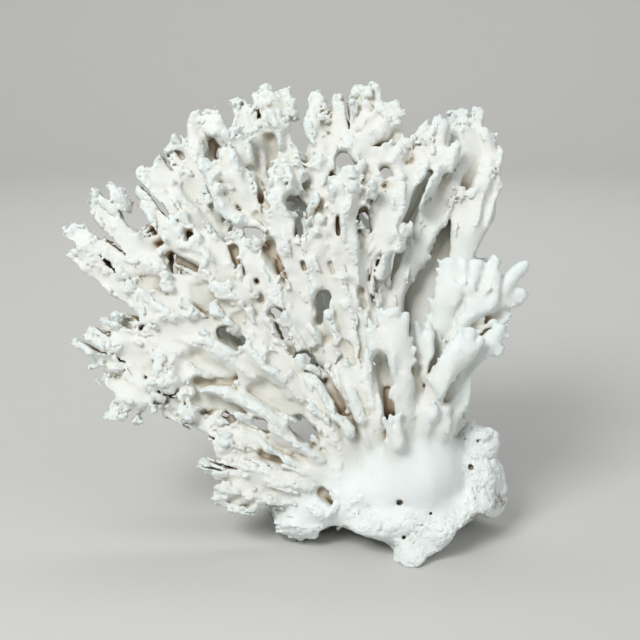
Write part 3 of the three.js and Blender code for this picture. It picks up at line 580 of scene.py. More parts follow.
# Twigs at the outline and on the front, each (u, v, w at its root, u, v, w at its tip, thickness at both)
twigs = {
    "upper_left_bough": [
        (-168, 200, 2, -173, 227, 1, 4.6, 2.8), (-168, 204, 2, -180, 222, 1, 3.6, 2.2),
        (-166, 198, 2, -181, 212, 2, 3.8, 2.4), (-162, 194, 3, -178, 205, 3, 4, 2.4),
        (-167, 205, 0, -167, 226, -2, 2.8, 1.4), (-178, 194, 4, -189, 206, 3, 4, 2.5),
        (-178, 195, 4, -195, 204, 3, 3.8, 2.3), (-180, 194, 4, -198, 199, 3, 3.8, 2.3),
        (-176, 194, 5, -183, 201, 6, 3.2, 2.2), (-178, 193, 4, -191, 191, 4, 3.8, 2.6),
        (-136, 214, 2, -153, 226, 0, 4, 2.5), (-134, 216, 2, -151, 220, 0, 3.6, 2.2),
        (-134, 222, 0, -151, 237, -2, 3.8, 2.2), (-132, 224, 0, -150, 232, -1, 3.4, 2),
        (-130, 228, 0, -145, 245, -3, 3.6, 2.1), (-128, 232, 0, -143, 250, -4, 3.4, 2),
        (-126, 236, 0, -139, 253, -4, 3.2, 2), (-126, 246, -6, -137, 265, -8, 3.6, 2.2),
        (-121, 246, -4, -126, 269, -6, 3.8, 2.4), (-120, 246, -4, -122, 270, -5, 3.8, 2.4),
        (-117, 246, -8, -115, 272, -10, 3.2, 2), (-117, 250, -8, -118, 269, -9, 3, 2),
        (-146, 198, 2, -151, 216, 0, 3.8, 2.5), (-138, 200, 4, -141, 217, 3, 3.8, 2.7),
        (-150, 196, 2, -160, 207, 1, 3, 1.9), (-112, 214, 10, -119, 230, 10, 3, 2),
    ],
    "crown_left_bough": [
        (-98, 256, -4, -106, 279, -6, 4.2, 2.6), (-97, 256, -4, -102, 281, -6, 4, 2.6),
        (-96, 256, -4, -98, 282, -6, 4, 2.6), (-94, 256, -3, -93, 281, -5, 4, 2.6),
        (-92, 256, -3, -89, 277, -4, 4, 2.4), (-98, 254, -2, -109, 267, -3, 4, 2.5),
        (-90, 254, -2, -86, 272, -3, 3.6, 2.2), (-92, 243, 6, -101, 258, 12, 3.2, 2),
        (-92, 243, 7, -95, 261, 14, 3.4, 2.1), (-91, 243, 7, -90, 259, 13, 3.2, 2),
        (-82, 264, -3, -87, 283, -4, 3, 2), (-82, 264, -3, -81, 286, -4, 3.6, 2.4),
        (-80, 266, -2, -77, 281, -3, 2.8, 1.8), (-72, 262, -1, -73, 282, -2, 2.8, 1.8),
        (-71, 262, -1, -70, 285, -2, 3, 1.9), (-70, 262, 0, -66, 279, 0, 2.6, 1.7),
        (-66, 250, 6, -67, 267, 9, 3.4, 2.2), (-65, 250, 6, -62, 273, 8, 3.6, 2.3),
        (-72, 254, 6, -75, 269, 8, 3, 1.9), (-98, 236, 13, -107, 238, 17, 4, 2.6),
        (-97, 236, 13, -104, 246, 16, 3.6, 2.4), (-71, 222, 17, -76, 235, 18, 3.6, 2.4),
        (-70, 222, 17, -68, 237, 18, 3.8, 2.5), (-68, 218, 17, -64, 232, 18, 3, 2),
    ],
    "crown_bough": [
        (-50, 262, -4, -55, 281, -5, 3.4, 2.1), (-50, 264, -4, -52, 286, -5, 4, 2.6),
        (-49, 264, -4, -47, 287, -5, 3.8, 2.4), (-46, 262, -3, -44, 277, -3, 2.6, 1.7),
        (-38, 256, 0, -38, 283, -2, 3.4, 2), (-35, 252, 1, -30, 275, 2, 3.6, 2.3),
        (-22, 262, -3, -28, 277, -3, 3.2, 2.1), (-22, 266, -4, -26, 288, -5, 3.8, 2.4),
        (-21, 266, -4, -20, 292, -5, 4.2, 2.7), (-20, 266, -4, -14, 290, -5, 4, 2.5),
        (-18, 264, -3, -11, 284, -4, 3.4, 2.2), (-28, 250, 4, -4, 279, 4, 3.2, 2),
        (-25, 245, 5, 3, 275, 4, 3.2, 2), (-22, 240, 6, 5, 270, 3, 3, 1.9),
        (-33, 252, 4, -10, 276, 5, 3, 1.9), (-16, 240, 6, 0, 262, 5, 3.6, 2.3),
        (-33, 214, 21, -38, 231, 22, 3.2, 2.1), (-33, 216, 21, -32, 235, 23, 3.4, 2.2),
        (-31, 214, 21, -27, 231, 22, 3, 2), (-50, 196, 16, -57, 208, 18, 3.4, 2.2),
        (-49, 196, 16, -49, 206, 18, 3.4, 2.2), (-47, 196, 16, -41, 209, 18, 3.2, 2.1),
    ],
    "centre_bough": [
        (4, 240, 3, 7, 256, 3, 3.2, 2), (8, 240, 3, 11, 264, 1, 3.4, 2),
        (12, 244, 2, 15, 268, 0, 3.6, 2.1), (15, 246, 1, 21, 270, -1, 3.6, 2.2),
        (18, 246, 1, 28, 266, -1, 3.4, 2.1), (22, 242, 4, 34, 254, 3, 3.4, 2.1),
        (20, 236, 6, 33, 251, 5, 3, 1.9), (14, 230, 8, 27, 243, 7, 3, 1.9),
        (10, 226, 8, 21, 239, 8, 3, 1.9), (6, 220, 9, 14, 232, 9, 3, 1.8),
        (4, 214, 9, 13, 226, 9, 2.8, 1.8), (2, 208, 9, 8, 218, 9, 2.8, 1.7),
        (0, 200, 9, 3, 208, 9, 2.6, 1.6), (-2, 192, 9, 0, 202, 9, 2.6, 1.6),
        (-14, 176, 9, -8, 190, 12, 3, 2), (-20, 166, 8, -16, 182, 11, 3, 2),
    ],
    "left_bough": [
        (-182, 172, 3, -201, 182, 2, 4, 2.4), (-182, 174, 3, -200, 187, 2, 3.6, 2.2),
        (-182, 176, 3, -196, 190, 2, 3.4, 2.2), (-180, 174, 4, -191, 189, 4, 3.2, 2),
        (-178, 170, 4, -187, 184, 5, 3.2, 2), (-172, 168, 4, -181, 184, 5, 3.2, 2),
        (-168, 166, 4, -177, 179, 5, 3, 1.9), (-162, 166, 5, -174, 176, 5, 3, 1.9),
        (-182, 170, 3, -196, 168, 3, 4, 2.4), (-178, 168, 3, -190, 164, 3, 3.8, 2.6),
        (-166, 162, 3, -177, 162, 3, 3.6, 2.4), (-160, 158, 3, -169, 158, 3, 3.4, 2.2),
        (-160, 146, -2, -181, 148, -3, 5, 2.8), (-162, 144, -2, -180, 144, -3, 4, 2.6),
        (-172, 135, 3, -193, 134, 3, 5, 2.8), (-174, 136, 3, -189, 139, 3, 4, 2.4),
        (-180, 136, 3, -184, 145, 3, 2.6, 1.6), (-176, 134, 4, -178, 140, 5, 2.4, 1.6),
        (-170, 124, 2, -186, 126, 2, 3.6, 2.2), (-170, 123, 2, -185, 120, 2, 3.6, 2),
        (-170, 122, 2, -181, 120, 3, 3.2, 2), (-168, 120, 2, -177, 117, 2, 3.4, 2.2),
        (-160, 114, 4, -173, 107, 4, 5, 2.8), (-160, 112, 4, -174, 112, 3, 3.6, 2.3),
        (-158, 106, 6, -175, 97, 6, 5, 3), (-158, 104, 6, -173, 92, 6, 4.6, 2.6),
        (-160, 102, 6, -168, 89, 6, 3.4, 2), (-151, 106, 2, -153, 90, 2, 3.8, 2.7),
        (-152, 106, 2, -157, 90, 2, 3.4, 2.5), (-146, 114, 3, -150, 101, 3, 3.2, 2.2),
        (-146, 184, 5, -163, 186, 7, 5, 3), (-146, 180, 6, -166, 176, 7, 5, 3),
    ],
    "lower_left_bough": [
        (-126, 110, 1, -143, 111, 1, 4, 2.4), (-124, 106, 2, -138, 101, 3, 3.6, 2),
        (-130, 96, -3, -146, 98, -3, 3.2, 1.7), (-130, 94, -3, -145, 89, -3, 3.4, 1.8),
        (-120, 94, -2, -133, 89, -2, 3.2, 1.7), (-112, 87, 2, -129, 86, 2, 3, 1.4),
        (-104, 82, 3, -123, 83, 2, 3, 1.8), (-100, 80, 4, -114, 81, 3, 3.4, 2),
        (-98, 76, 4, -112, 76, 4, 3.6, 2.2), (-98, 74, 4, -110, 72, 4, 3.6, 2.2),
        (-96, 72, 5, -109, 66, 5, 3.6, 2.2), (-102, 62, 4, -118, 66, 4, 3.6, 2),
        (-100, 60, 4, -113, 60, 4, 3.8, 2.2), (-98, 58, 5, -110, 55, 5, 3.6, 2.2),
        (-94, 48, 3, -110, 49, 3, 4, 2.4), (-94, 46, 3, -110, 42, 3, 4, 2.6),
        (-92, 44, 4, -103, 38, 4, 3.8, 2.4), (-84, 42, 4, -91, 34, 4, 3.8, 2.6),
        (-78, 42, 3, -82, 36, 3, 3.6, 2.4), (-84, 96, 8, -102, 104, 9, 3.4, 2.2),
        (-70, 88, 10, -84, 98, 12, 3.4, 2.2), (-60, 92, 10, -70, 104, 12, 3.2, 2.1),
        (-64, 66, 10, -78, 72, 12, 3.4, 2.2), (-48, 66, 12, -60, 76, 14, 3.4, 2.2),
    ],
    "front_bough": [
        (-6, 134, 30, -21, 148, 31, 3.8, 2.4), (-8, 136, 31, -15, 152, 31, 3.6, 2.3),
        (-7, 138, 31, -10, 151, 32, 3.6, 2.3), (-4, 136, 31, -5, 152, 31, 3.6, 2.2),
        (-2, 134, 31, 1, 151, 31, 3.4, 2.2), (11, 130, 21, 9, 145, 21, 3.8, 2.9),
        (13, 130, 21, 15, 146, 21, 3.8, 2.9), (30, 126, 28, 26, 140, 29, 3, 1.9),
        (32, 128, 28, 32, 143, 29, 3.2, 2), (34, 128, 28, 38, 142, 29, 3.2, 2.1),
        (36, 126, 28, 44, 137, 28, 3, 1.9), (34, 124, 28, 39, 132, 29, 3, 1.9),
        (26, 116, 27, 35, 126, 28, 3, 1.8), (20, 108, 26, 27, 115, 28, 2.8, 1.7),
        (52, 132, 14, 67, 151, 14, 3.4, 1.8), (46, 124, 14, 61, 134, 13, 3.4, 1.8),
        (-3, 76, 29, -9, 90, 31, 3.2, 2.1), (-2, 78, 29, -4, 92, 31, 3, 2),
    ],
    "right_bough": [
        (48, 172, 11, 56, 184, 11, 6, 4.4), (60, 167, 7, 73, 182, 6, 5.6, 4.2),
        (58, 160, 5, 72, 166, 5, 5.4, 3.8), (56, 152, 4, 70, 160, 4, 5, 3.6),
        (54, 146, 4, 64, 153, 4, 4.6, 3.2), (42, 172, 12, 45, 181, 12, 6.5, 6),
        (35, 172, 12, 36, 181, 12, 6.5, 6), (29, 170, 11, 28, 181, 11, 6, 5),
        (27, 176, 10, 22, 184, 10, 2.6, 1.3), (26, 171, 10, 21, 179, 10, 2.4, 1.2),
        (26, 165, 10, 21, 173, 10, 2.6, 1.3), (24, 160, 10, 20, 167, 10, 2.4, 1.2),
        (20, 154, 9, 15, 162, 10, 2.6, 1.3), (18, 148, 9, 12, 156, 10, 2.4, 1.2),
        (17, 142, 9, 12, 150, 10, 2.4, 1.2),
    ],
    "back_plate_bough": [
        (38, 252, -18, 35, 274, -20, 3.4, 2.3), (40, 252, -18, 40, 276, -20, 3.4, 2.3),
        (50, 252, -17, 45, 275, -20, 3.2, 2.1), (51, 252, -17, 50, 277, -20, 3.4, 2.2),
        (56, 246, -16, 57, 263, -19, 3, 1.9), (44, 256, -18, 41, 270, -17, 3, 1.9),
    ],
    "trunk": [
        (-24, 92, 20, -30, 108, 22, 3.6, 2.4), (-18, 100, 20, -20, 118, 22, 3.6, 2.3),
        (-32, 84, 18, -40, 98, 20, 3.4, 2.3), (-12, 88, 20, -12, 104, 22, 3.4, 2.2),
        (-26, 112, 18, -32, 126, 19, 3.2, 2.2), (-20, 116, 19, -20, 132, 20, 3.2, 2.2),
        (-40, 100, 15, -50, 112, 16, 3.2, 2.1), (-44, 90, 16, -56, 98, 17, 3.2, 2.1),
    ],
}
for name, rows in twigs.items():
    for row in rows:
        add_finger(name, row[:3], row[3:6], (0, 0, 1), row[6], row[7], None if name in bushy else 0)

# Teeth along both edges of every limb, with longer fingers among them, and stubs that stand off its faces
TOOTH_SPACING, SMOOTH_TOOTH_SPACING = 3.6, 5.5
for name, limbs in boughs.items():
    for one in limbs:
        if one["bare"]:
            continue
        path, along, across, out = limb_course(one["stations"], 16)
        spacing = TOOTH_SPACING if name in bushy else SMOOTH_TOOTH_SPACING
        travelled = 0.0
        for i in range(len(path) // 4, len(path) - 1):
            travelled += np.linalg.norm(path[i, :3] - path[i - 1, :3])
            if travelled < spacing:
                continue
            travelled = rng.uniform(-0.8, 0.8)
            middle, wide, thick = path[i, :3], path[i, 3], path[i, 4]
            for side in (-1, 1):
                way = (along[i] * rng.uniform(0.4, 1.0) + across[i] * side * rng.uniform(0.6, 1.1)
                       + out[i] * rng.uniform(-0.6, 0.6))
                way /= np.linalg.norm(way)
                start = middle + across[i] * side * (wide - 2.4) + out[i] * thick * rng.uniform(-0.4, 0.4)
                long = name in bushy and rng.random() < 0.15 + 0.3 * (i / len(path))
                length = rng.uniform(6, 9) if long else rng.uniform(3.2, 5.5) if name in bushy else 2.8
                tip = held_in(start, start + way * length)
                if tip is None:
                    continue
                if long:
                    add_finger(name, start, tip, out[i], 2.4, 1.6)
                else:
                    add_to(name, in_world(start), in_world(tip), 2.1, rng.uniform(0.9, 1.3), 1.4)
            if name in bushy and i > len(path) // 2 and rng.random() < 0.35:
                face = 1 if rng.random() < 0.5 else -1
                start = middle + across[i] * wide * rng.uniform(-0.6, 0.6) + out[i] * face * (thick - 2)
                way = along[i] + out[i] * face * rng.uniform(0.4, 0.9) + across[i] * rng.uniform(-0.4, 0.4)
                way /= np.linalg.norm(way)
                tip = held_in(start, start + way * rng.uniform(4, 7))
                if tip is not None:
                    add_finger(name, start, tip, out[i], 2.6, 1.7)

# Where limbs of neighbouring boughs fused, nothing is left outside the outline, and the crust is broken off
# along it. The boughs behind the fan are left as they are.
solid = np.nonzero(skin < 2)
places = (np.stack(solid, -1) * PITCH + ORIGIN + [0, BASE_SETBACK, BASE_DROP]).astype(np.float32) @ fan
OUTLINE_SLACK = 0.3
trimmed = -joined(-skin[solid], -(past_outline(places) - OUTLINE_SLACK).astype(np.float32), 1)
skin[solid] = np.where(places[:, 2] > -40, trimmed, skin[solid])
del solid, places, trimmed


# Gaps that the limbs left as they fused: some go right through the fan, others are troughs of a few mm.
# Each is (u, v at one end, u, v at the other, half width, depth from the front).
THROUGH = 99
DEEPEST = 20  # mm that are worn away in the middle of a gap that goes through
BEHIND = -28  # no gap reaches the boughs behind the fan
gaps = [
    (-47, 163, -45, 150, 3.2, THROUGH), (-76, 155, -70, 152, 2.4, THROUGH),
    (-73, 152, -67, 138, 2.6, THROUGH), (-104, 141, -92, 134, 3.6, THROUGH),
    (-152, 144, -150, 143, 1.8, THROUGH),
    (-57, 127, -47, 116, 3.2, THROUGH), (-46, 116, -34, 94, 2.6, 7), (-82, 108, -64, 96, 5.5, 8),
    (-62, 86, -53, 79, 4.6, THROUGH), (-88, 89, -76, 84, 2.4, THROUGH), (-118, 103, -94, 94, 3, 9),
    (-104, 92, -98, 88, 2, 9), (-82, 70, -66, 65, 1.6, 7), (-48, 47, -40, 42, 2.2, 9),
    (-136, 188, -135, 178, 1.3, THROUGH), (-134, 186, -118, 177, 1.6, 8), (-125, 200, -122, 194, 2.2, 9),
    (-120, 229, -112, 214, 3.6, 9), (-112, 214, -99, 198, 2.8, 9), (-97, 201, -84, 199, 2.4, THROUGH),
    (-99, 190, -97, 183, 2.2, 9), (-96, 179, -93, 176, 1.6, 9), (-86, 172, -86, 171.8, 1.3, 8),
    (-84, 234, -83, 219, 1.4, 8), (-83, 219, -78, 214, 1.2, 6), (-78, 192, -70, 176, 2.6, 8),
    (-61, 264, -58, 254, 2.8, THROUGH), (-62, 236, -60, 222, 1.4, 6), (-64, 217, -58, 212, 3.6, THROUGH),
    (-61, 208, -60, 197, 1.8, THROUGH), (-34, 243, -30, 238, 4.5, THROUGH), (-40, 236, -42, 230, 1.6, 10),
    (-28, 236, -26, 230, 2.4, THROUGH), (-44, 226, -46, 214, 2.0, 8), (-9, 238, -7, 231, 2.8, THROUGH),
    (-22, 212, -20, 203, 1.9, THROUGH), (-37, 208, -37, 200, 1, 8), (-58, 183, -57, 179, 1.2, 5),
    (-42, 182, -40, 177, 1.2, 5), (-25, 166, -23, 154, 1.6, 6), (-24, 150, -21, 143, 1.8, 6),
    (-106, 188, -100, 172, 5, 5), (-146, 236, -140, 228, 4, 4), (-126, 230, -122, 222, 4, 5),
    (-161, 128, -144, 118, 5, 5), (-166, 116, -146, 101, 4, 4), (-150, 172, -142, 168, 3, 5),
    (-138, 142, -112, 146, 4.5, 5), (-128, 122, -116, 128, 4.5, 5), (-122, 128, -104, 118, 4, 5),
    (-112, 158, -118, 166, 4, 5), (-94, 148, -84, 160, 4, 4), (-118, 112, -96, 112, 3, 6),
    (-28, 256, -14, 268, 2, 4), (-14, 250, -2, 258, 3, 7), (-66, 258, -68, 244, 3.4, 6),
    (-78, 256, -76, 238, 3.4, 6), (-56, 262, -54, 248, 3.2, 6), (-106, 250, -104, 240, 3.6, 6),
    (17, 236, 1, 203, 1.6, 26), (1, 203, -7, 172, 1.4, 20), (39, 226, 50, 256, 2, 3.5),
    (-13, 127, -8, 108, 2.6, 20), (-8, 108, -7, 92, 2, 20), (37, 163, 32, 151, 2.4, 6),
    (32, 151, 25, 138, 2.4, 6), (66, 154, 50, 150, 2.4, 6), (50, 150, 40, 142, 2.4, 6),
    (8, 120, 10, 108, 2.4, 5), (13, 108, 22, 96, 3, 6), (-64, 118, -76, 126, 4, 4),
    (-34, 132, -44, 122, 4, 4), (52, 185, 46, 168, 2, 4), (33, 184, 33, 172, 1.6, 4),
]


def swell(spacing, seed):
    """A smooth field of random values about -1 to 1, with humps about two spacings apart."""
    field = np.random.default_rng(seed).uniform(-1, 1, [int(n * PITCH / spacing) + 5 for n in SHAPE])
    for axis, count in enumerate(SHAPE):
        place = np.arange(count) * PITCH / spacing
        weights = np.zeros((count, field.shape[axis]))
        first = place.astype(int)
        t = place - first
        rows = np.arange(count)
        for k, weight in enumerate(((1 - t) ** 3 / 6, (3 * t**3 - 6 * t**2 + 4) / 6,
                                    (-3 * t**3 + 3 * t**2 + 3 * t + 1) / 6, t**3 / 6)):
            weights[rows, first + k] += weight
        field = np.moveaxis(np.tensordot(weights.astype(np.float32), field.astype(np.float32), (1, axis)),
                            0, axis)
    return field


def front_at(u, v):
    """How far forward the skin stands where the fan is seen at u, v."""
    steps = np.arange(60, -40, -PITCH)
    spot = in_world(np.column_stack([np.full((len(steps), 2), (u, v)), steps]))
    filled = skin[tuple(((spot - ORIGIN) / PITCH).round().astype(int).T)] < 0
    return steps[filled.argmax()] if filled.any() else 10.0


ragged = swell(2.6, 3) + 1.2 * swell(5, 5)
teeth = []
for u0, v0, u1, v1, half_wide, depth in gaps:
    front = front_at((u0 + u1) / 2, (v0 + v1) / 2)
    floor_at = max(front - depth, BEHIND)
    if half_wide > 1.5:  # fingers reach into a gap from the side that grew first, nearest the base
        grown = np.array(min([(u0, v0), (u1, v1)], key=lambda end: math.hypot(end[0], end[1] - 40)), float)
        growth = math.atan2(grown[1] - 40, grown[0])
        for angle in np.arange(-80, 81, 40) + rng.uniform(-12, 12, 5):
            from_base = growth + math.pi + math.radians(angle)
            rim = grown + (half_wide + 1.5) * np.array([math.cos(from_base), math.sin(from_base)])
            teeth.append((*rim, front, growth - math.radians(angle) * 0.5, half_wide))
    low = (min(u0, u1) - half_wide - 3, min(v0, v1) - half_wide - 3)
    high = (max(u0, u1) + half_wide + 3, max(v0, v1) + half_wide + 3)
    ends = in_world([(u, v, w) for u in (low[0], high[0]) for v in (low[1], high[1])
                     for w in (floor_at - 3, front + 12)])
    slices, x, y, z = part_of_space(ends.min(0), ends.max(0))
    y, z = y + BASE_SETBACK, z + BASE_DROP
    right = x - u0 + 0 * (y + z)
    up = y * fan[1, 1] + z * fan[2, 1] - v0
    toward = y * fan[1, 2] + z * fan[2, 2]
    run = (u1 - u0, v1 - v0)
    t = np.clip((right * run[0] + up * run[1]) / (run[0] ** 2 + run[1] ** 2), 0, 1)
    from_line = np.hypot(right - t * run[0], up - t * run[1]) + min(2.4, half_wide * 0.9) * ragged[slices]
    far = np.maximum(from_line / half_wide, 0)
    worn = DEEPEST * np.exp(-far**3) if depth == THROUGH else (depth + 2) * np.exp(-far**2)
    skin[slices] += (worn * np.clip((toward - floor_at) / 3, 0, 1)).astype(np.float32)

for u, v, front, growth, half_wide in teeth:
    root = np.array([u, v, front_at(u, v) - 1.5])
    if abs(root[2] + 1.5 - front) > 6:
        continue
    way = np.array([math.cos(growth), math.sin(growth), 0.5])
    tip = root + way * min(2 + half_wide, 5) * rng.uniform(0.7, 1.2)
    place = ((in_world(root) - ORIGIN) / PITCH).astype(int)
    holders = {}
    for name, (box, share) in own.items():
        inner = [k - s.start for k, s in zip(place, box)]
        if all(0 <= k < n for k, n in zip(inner, share.shape)):
            holders[name] = share[tuple(inner)]
    add_to(min(holders, key=holders.get), in_world(root), in_world(tip), 1.9, 1.1, 1.5)

# Uneven growth all over, in swells of two sizes and in ridges that run outwards from the base
for spacing, height, seed in ((8, 1.5, 1), (3.4, 0.7, 2)):
    skin += height * swell(spacing, seed)


def ridges(flat, turn, length, seed):
    """Ridges from -1 to 1 that run outwards from the base, in the fan's frame.

    Their height changes at random every `turn` radians round the base and every `length` mm outwards.
    """
    right, up = flat[:, 0], flat[:, 1] - 30
    from_base = np.hypot(right, up)
    steps = np.stack([(np.arctan2(right, up) + 4) / turn, from_base / length], -1)
    first = steps.astype(int)
    t = steps - first
    t = t * t * (3 - 2 * t)
    heights = np.random.default_rng(seed).uniform(-1, 1, (512, 32))
    ridge = np.zeros(len(flat))
    for a, b in np.ndindex(2, 2):
        weight = (t[:, 0] if a else 1 - t[:, 0]) * (t[:, 1] if b else 1 - t[:, 1])
        ridge += weight * heights[(first[:, 0] + a) % 512, (first[:, 1] + b) % 32]
    return ridge * np.clip((from_base - 45) / 30, 0, 1)


def crust_share(flat):
    """1 where the holdfast is broken crust and 0 on the smooth dome, in the fan's frame."""
    u, v = flat[:, 0], flat[:, 1]
    wavy = 37 + 2.5 * np.sin(u / 4.5) + 1.5 * np.sin(u / 1.7)
    low = np.clip((wavy - v) / 2, 0, 1) * np.clip((u + 36) / 6, 0, 1)
    side = np.clip((u - 37 - 2 * np.sin(v / 3.5)) / 2, 0, 1) * np.clip((88 - v) / 4, 0, 1)
    return np.maximum(low, side).astype(np.float32)


def smooth_share(flat):
    """1 where the limbs are smooth nearly to their edges: at the right, in front and behind the right."""
    u, v, w = flat.T
    right = np.clip((u - 4) / 8, 0, 1) * np.clip((205 - v) / 15, 0, 1)
    front = np.clip((w - 20) / 4, 0, 1) * np.clip((155 - v) / 5, 0, 1)
    behind = np.clip((-8 - w) / 3, 0, 1) * np.clip((u + 20) / 5, 0, 1) * np.clip((252 - v) / 8, 0, 1)
    return np.maximum(np.maximum(right, front), behind)


RIDGE_HEIGHT, RIDGE_TURN, RIDGE_LENGTH = 2.2, 0.042, 40
near = np.nonzero(np.abs(skin) < 5)
on_fan = (np.stack(near, -1) * PITCH + ORIGIN + [0, BASE_SETBACK, BASE_DROP]).astype(np.float32) @ fan
above_base = np.clip((on_fan[:, 1] - 42) / 15, 0, 1) * (1 - crust_share(on_fan))
height = RIDGE_HEIGHT * above_base * (1 - 0.5 * smooth_share(on_fan))
skin[near] -= (height * ridges(on_fan, RIDGE_TURN, RIDGE_LENGTH, 4)).astype(np.float32)

# Notches between the fingers, narrower from the outline inwards: a ridge above the level becomes a notch,
# and the level rises with every mm inwards
NOTCH_REACH, NOTCH_DEPTH = 13, 3.5
NOTCH_TURN, NOTCH_LENGTH = 0.016, 45
NOTCH_LEVEL, NOTCH_RISE = 0.15, 0.05
depth_in = -past_outline(on_fan)
on_plates = (on_fan[:, 0] > 25) & (on_fan[:, 2] < -5)
rim = (depth_in < NOTCH_REACH) & (smooth_share(on_fan) == 0) & (on_fan[:, 1] > 60) & ~on_plates
notch = (ridges(on_fan[rim], NOTCH_TURN, NOTCH_LENGTH, 7) - NOTCH_LEVEL
         - NOTCH_RISE * np.maximum(depth_in[rim], 0))
at_rim = tuple(axis[rim] for axis in near)
skin[at_rim] = np.maximum(skin[at_rim], (NOTCH_DEPTH * notch).astype(np.float32))
del depth_in, on_plates, rim, notch, at_rim, height, above_base

# Only the points close to the skin matter from here on
near = np.nonzero(np.abs(skin) < 3.4)
spots = (np.stack(near, -1) * PITCH + ORIGIN).astype(np.float32)
on_fan = (spots + np.float32([0, BASE_SETBACK, BASE_DROP])) @ fan.astype(np.float32)

# Edges and tips are crowded with little knobs, each a few corallites wide. They stand where little skeleton
# is around a place, which is worked out in a coarser block of space.
COARSE = 3


def coarse_block():
    """The share of skeleton, from 0 to 1, at every third point of the block."""
    return np.clip(0.5 - skin[::COARSE, ::COARSE, ::COARSE] / 2.4, 0, 1)


def blurred(field, sigma):
    """A coarse block, blurred by `sigma` mm along all three axes."""
    for axis in range(3):
        steps = np.arange(field.shape[axis])
        weights = np.exp(-0.5 * ((steps[:, None] - steps[None, :]) * COARSE * PITCH / sigma) ** 2)
        weights /= weights.sum(1, keepdims=True)
        field = np.moveaxis(np.tensordot(weights.astype(np.float32), field, (1, axis)), 0, axis)
    return field


def sample(field, points):
    """A coarse block's values at places in mm, between its points."""
    place = (points - ORIGIN) / (COARSE * PITCH)
    first = np.clip(place.astype(int), 0, np.array(field.shape) - 2)
    t = np.clip(place - first, 0, 1)
    value = np.zeros(len(points))
    for corner in np.ndindex(2, 2, 2):
        weight = np.prod([t[:, k] if corner[k] else 1 - t[:, k] for k in range(3)], axis=0)
        value += weight * field[tuple((first + corner).T)]
    return value


def knobs(places, spacing, seed):
    """How high the knobs stand at each place, from 0 between them to 1 on top."""
    steps = (places - ORIGIN) / spacing
    first = steps.astype(int)
    t = (steps - first).astype(np.float32)
    jitter = np.random.default_rng(seed).uniform(0.1, 0.9, (32, 32, 32, 3)).astype(np.float32)
    nearest = np.full(len(places), 4, np.float32)
    for cell in np.ndindex(3, 3, 3):
        cell = np.array(cell) - 1
        centre = jitter[tuple(((first + cell) % 32).T)] + cell
        np.minimum(nearest, ((t - centre) ** 2).sum(1), out=nearest)
    return np.sqrt(np.maximum(1 - nearest / 0.8, 0))


FRINGE_HEIGHT, FRINGE_TURN, FRINGE_LENGTH = 1.5, 0.019, 11
KNOB_SPACING, KNOB_HEIGHT = 2.5, 2.2
GRAIN_SPACING, GRAIN_HEIGHT, LEDGE = 2.4, 2.0, 2.2
in_crust = crust_share(on_fan)
exposed = np.clip((0.47 - sample(blurred(coarse_block(), 3), spots)) / 0.16, 0, 1) * (1 - in_crust)
exposed *= 1 - 0.75 * smooth_share(on_fan)
values = skin[near]
outer = exposed > 0
values[outer] -= exposed[outer] * FRINGE_HEIGHT * ridges(on_fan[outer], FRINGE_TURN, FRINGE_LENGTH, 6)
# Places with knobs all over, each (u, v, half width, half height, share of the knobs' full height)
crowded = [(-21, 106, 14, 24, 0.6), (-80, 84, 52, 30, 0.5), (-176, 160, 34, 70, 0.4),
           (-128, 244, 38, 34, 0.4), (-50, 272, 56, 24, 0.4)]
for u, v, half_u, half_v, share in crowded:
    knobby = ((on_fan[:, 0] - u) / half_u) ** 2 + ((on_fan[:, 1] - v) / half_v) ** 2 < 1
    exposed[knobby] = np.maximum(exposed[knobby], share)
outer, rough = exposed > 0, in_crust > 0
values[outer] -= exposed[outer] * KNOB_HEIGHT * (knobs(spots[outer], KNOB_SPACING, 31) - 0.5)
grains = knobs(spots[rough], GRAIN_SPACING, 32) + 1.2 * knobs(spots[rough], 3 * GRAIN_SPACING, 33)
values[rough] += in_crust[rough] * (LEDGE - GRAIN_HEIGHT * (grains - 0.6))
pits = [(-2.5, 43, 2.0), (1.0, 22.5, 1.3), (47, 76, 0.9), (16, 37, 1.0), (41, 62, 1.7)]  # u, v, radius
for u, v, radius in pits:
    from_middle = np.hypot(on_fan[:, 0] - u, on_fan[:, 1] - v)
    values = np.where(on_fan[:, 2] > -20, np.maximum(values, radius - from_middle), values)
skin[near] = values

# Nothing reaches below the cut
level = (ORIGIN[2] + PITCH * np.arange(SHAPE[2])).astype(np.float32)
np.maximum(skin, -level[None, None, :], out=skin)

# How sheltered a place is: the share of skeleton around it, blurred. It sets the painted shade in the
# hollows.
coarse = coarse_block()
near_shelter, wide_shelter = blurred(coarse, 4), blurred(coarse, 12)


def main_shell(faces, count):
    """The faces of the biggest shell: not the specks, and not the walls of sealed pockets."""
    label = np.arange(count)
    while True:
        low = label[faces].min(1)
        new = label.copy()
        for k in range(4):
            np.minimum.at(new, faces[:, k], low)
        new = new[new]
        if (new == label).all():
            break
        label = new
    shell = label[faces[:, 0]]
    return faces[shell == np.bincount(shell).argmax()]


def make_mesh(title, points, faces):
    """A smooth mesh, in metres from mm. A row of faces has four corners, and a triangle repeats its last."""
    corners = np.where(faces[:, 2] == faces[:, 3], 3, 4)
    mesh = bpy.data.meshes.new(title)
    mesh.vertices.add(len(points))
    mesh.vertices.foreach_set("co", (points * MM).ravel())
    mesh.loops.add(int(corners.sum()))
    mesh.loops.foreach_set("vertex_index", faces[np.arange(4) < corners[:, None]])
    mesh.polygons.add(len(faces))
    mesh.polygons.foreach_set("loop_start", np.cumsum(corners) - corners)
    mesh.polygons.foreach_set("loop_total", corners)
    mesh.update(calc_edges=True)
    mesh.shade_smooth()
    return mesh


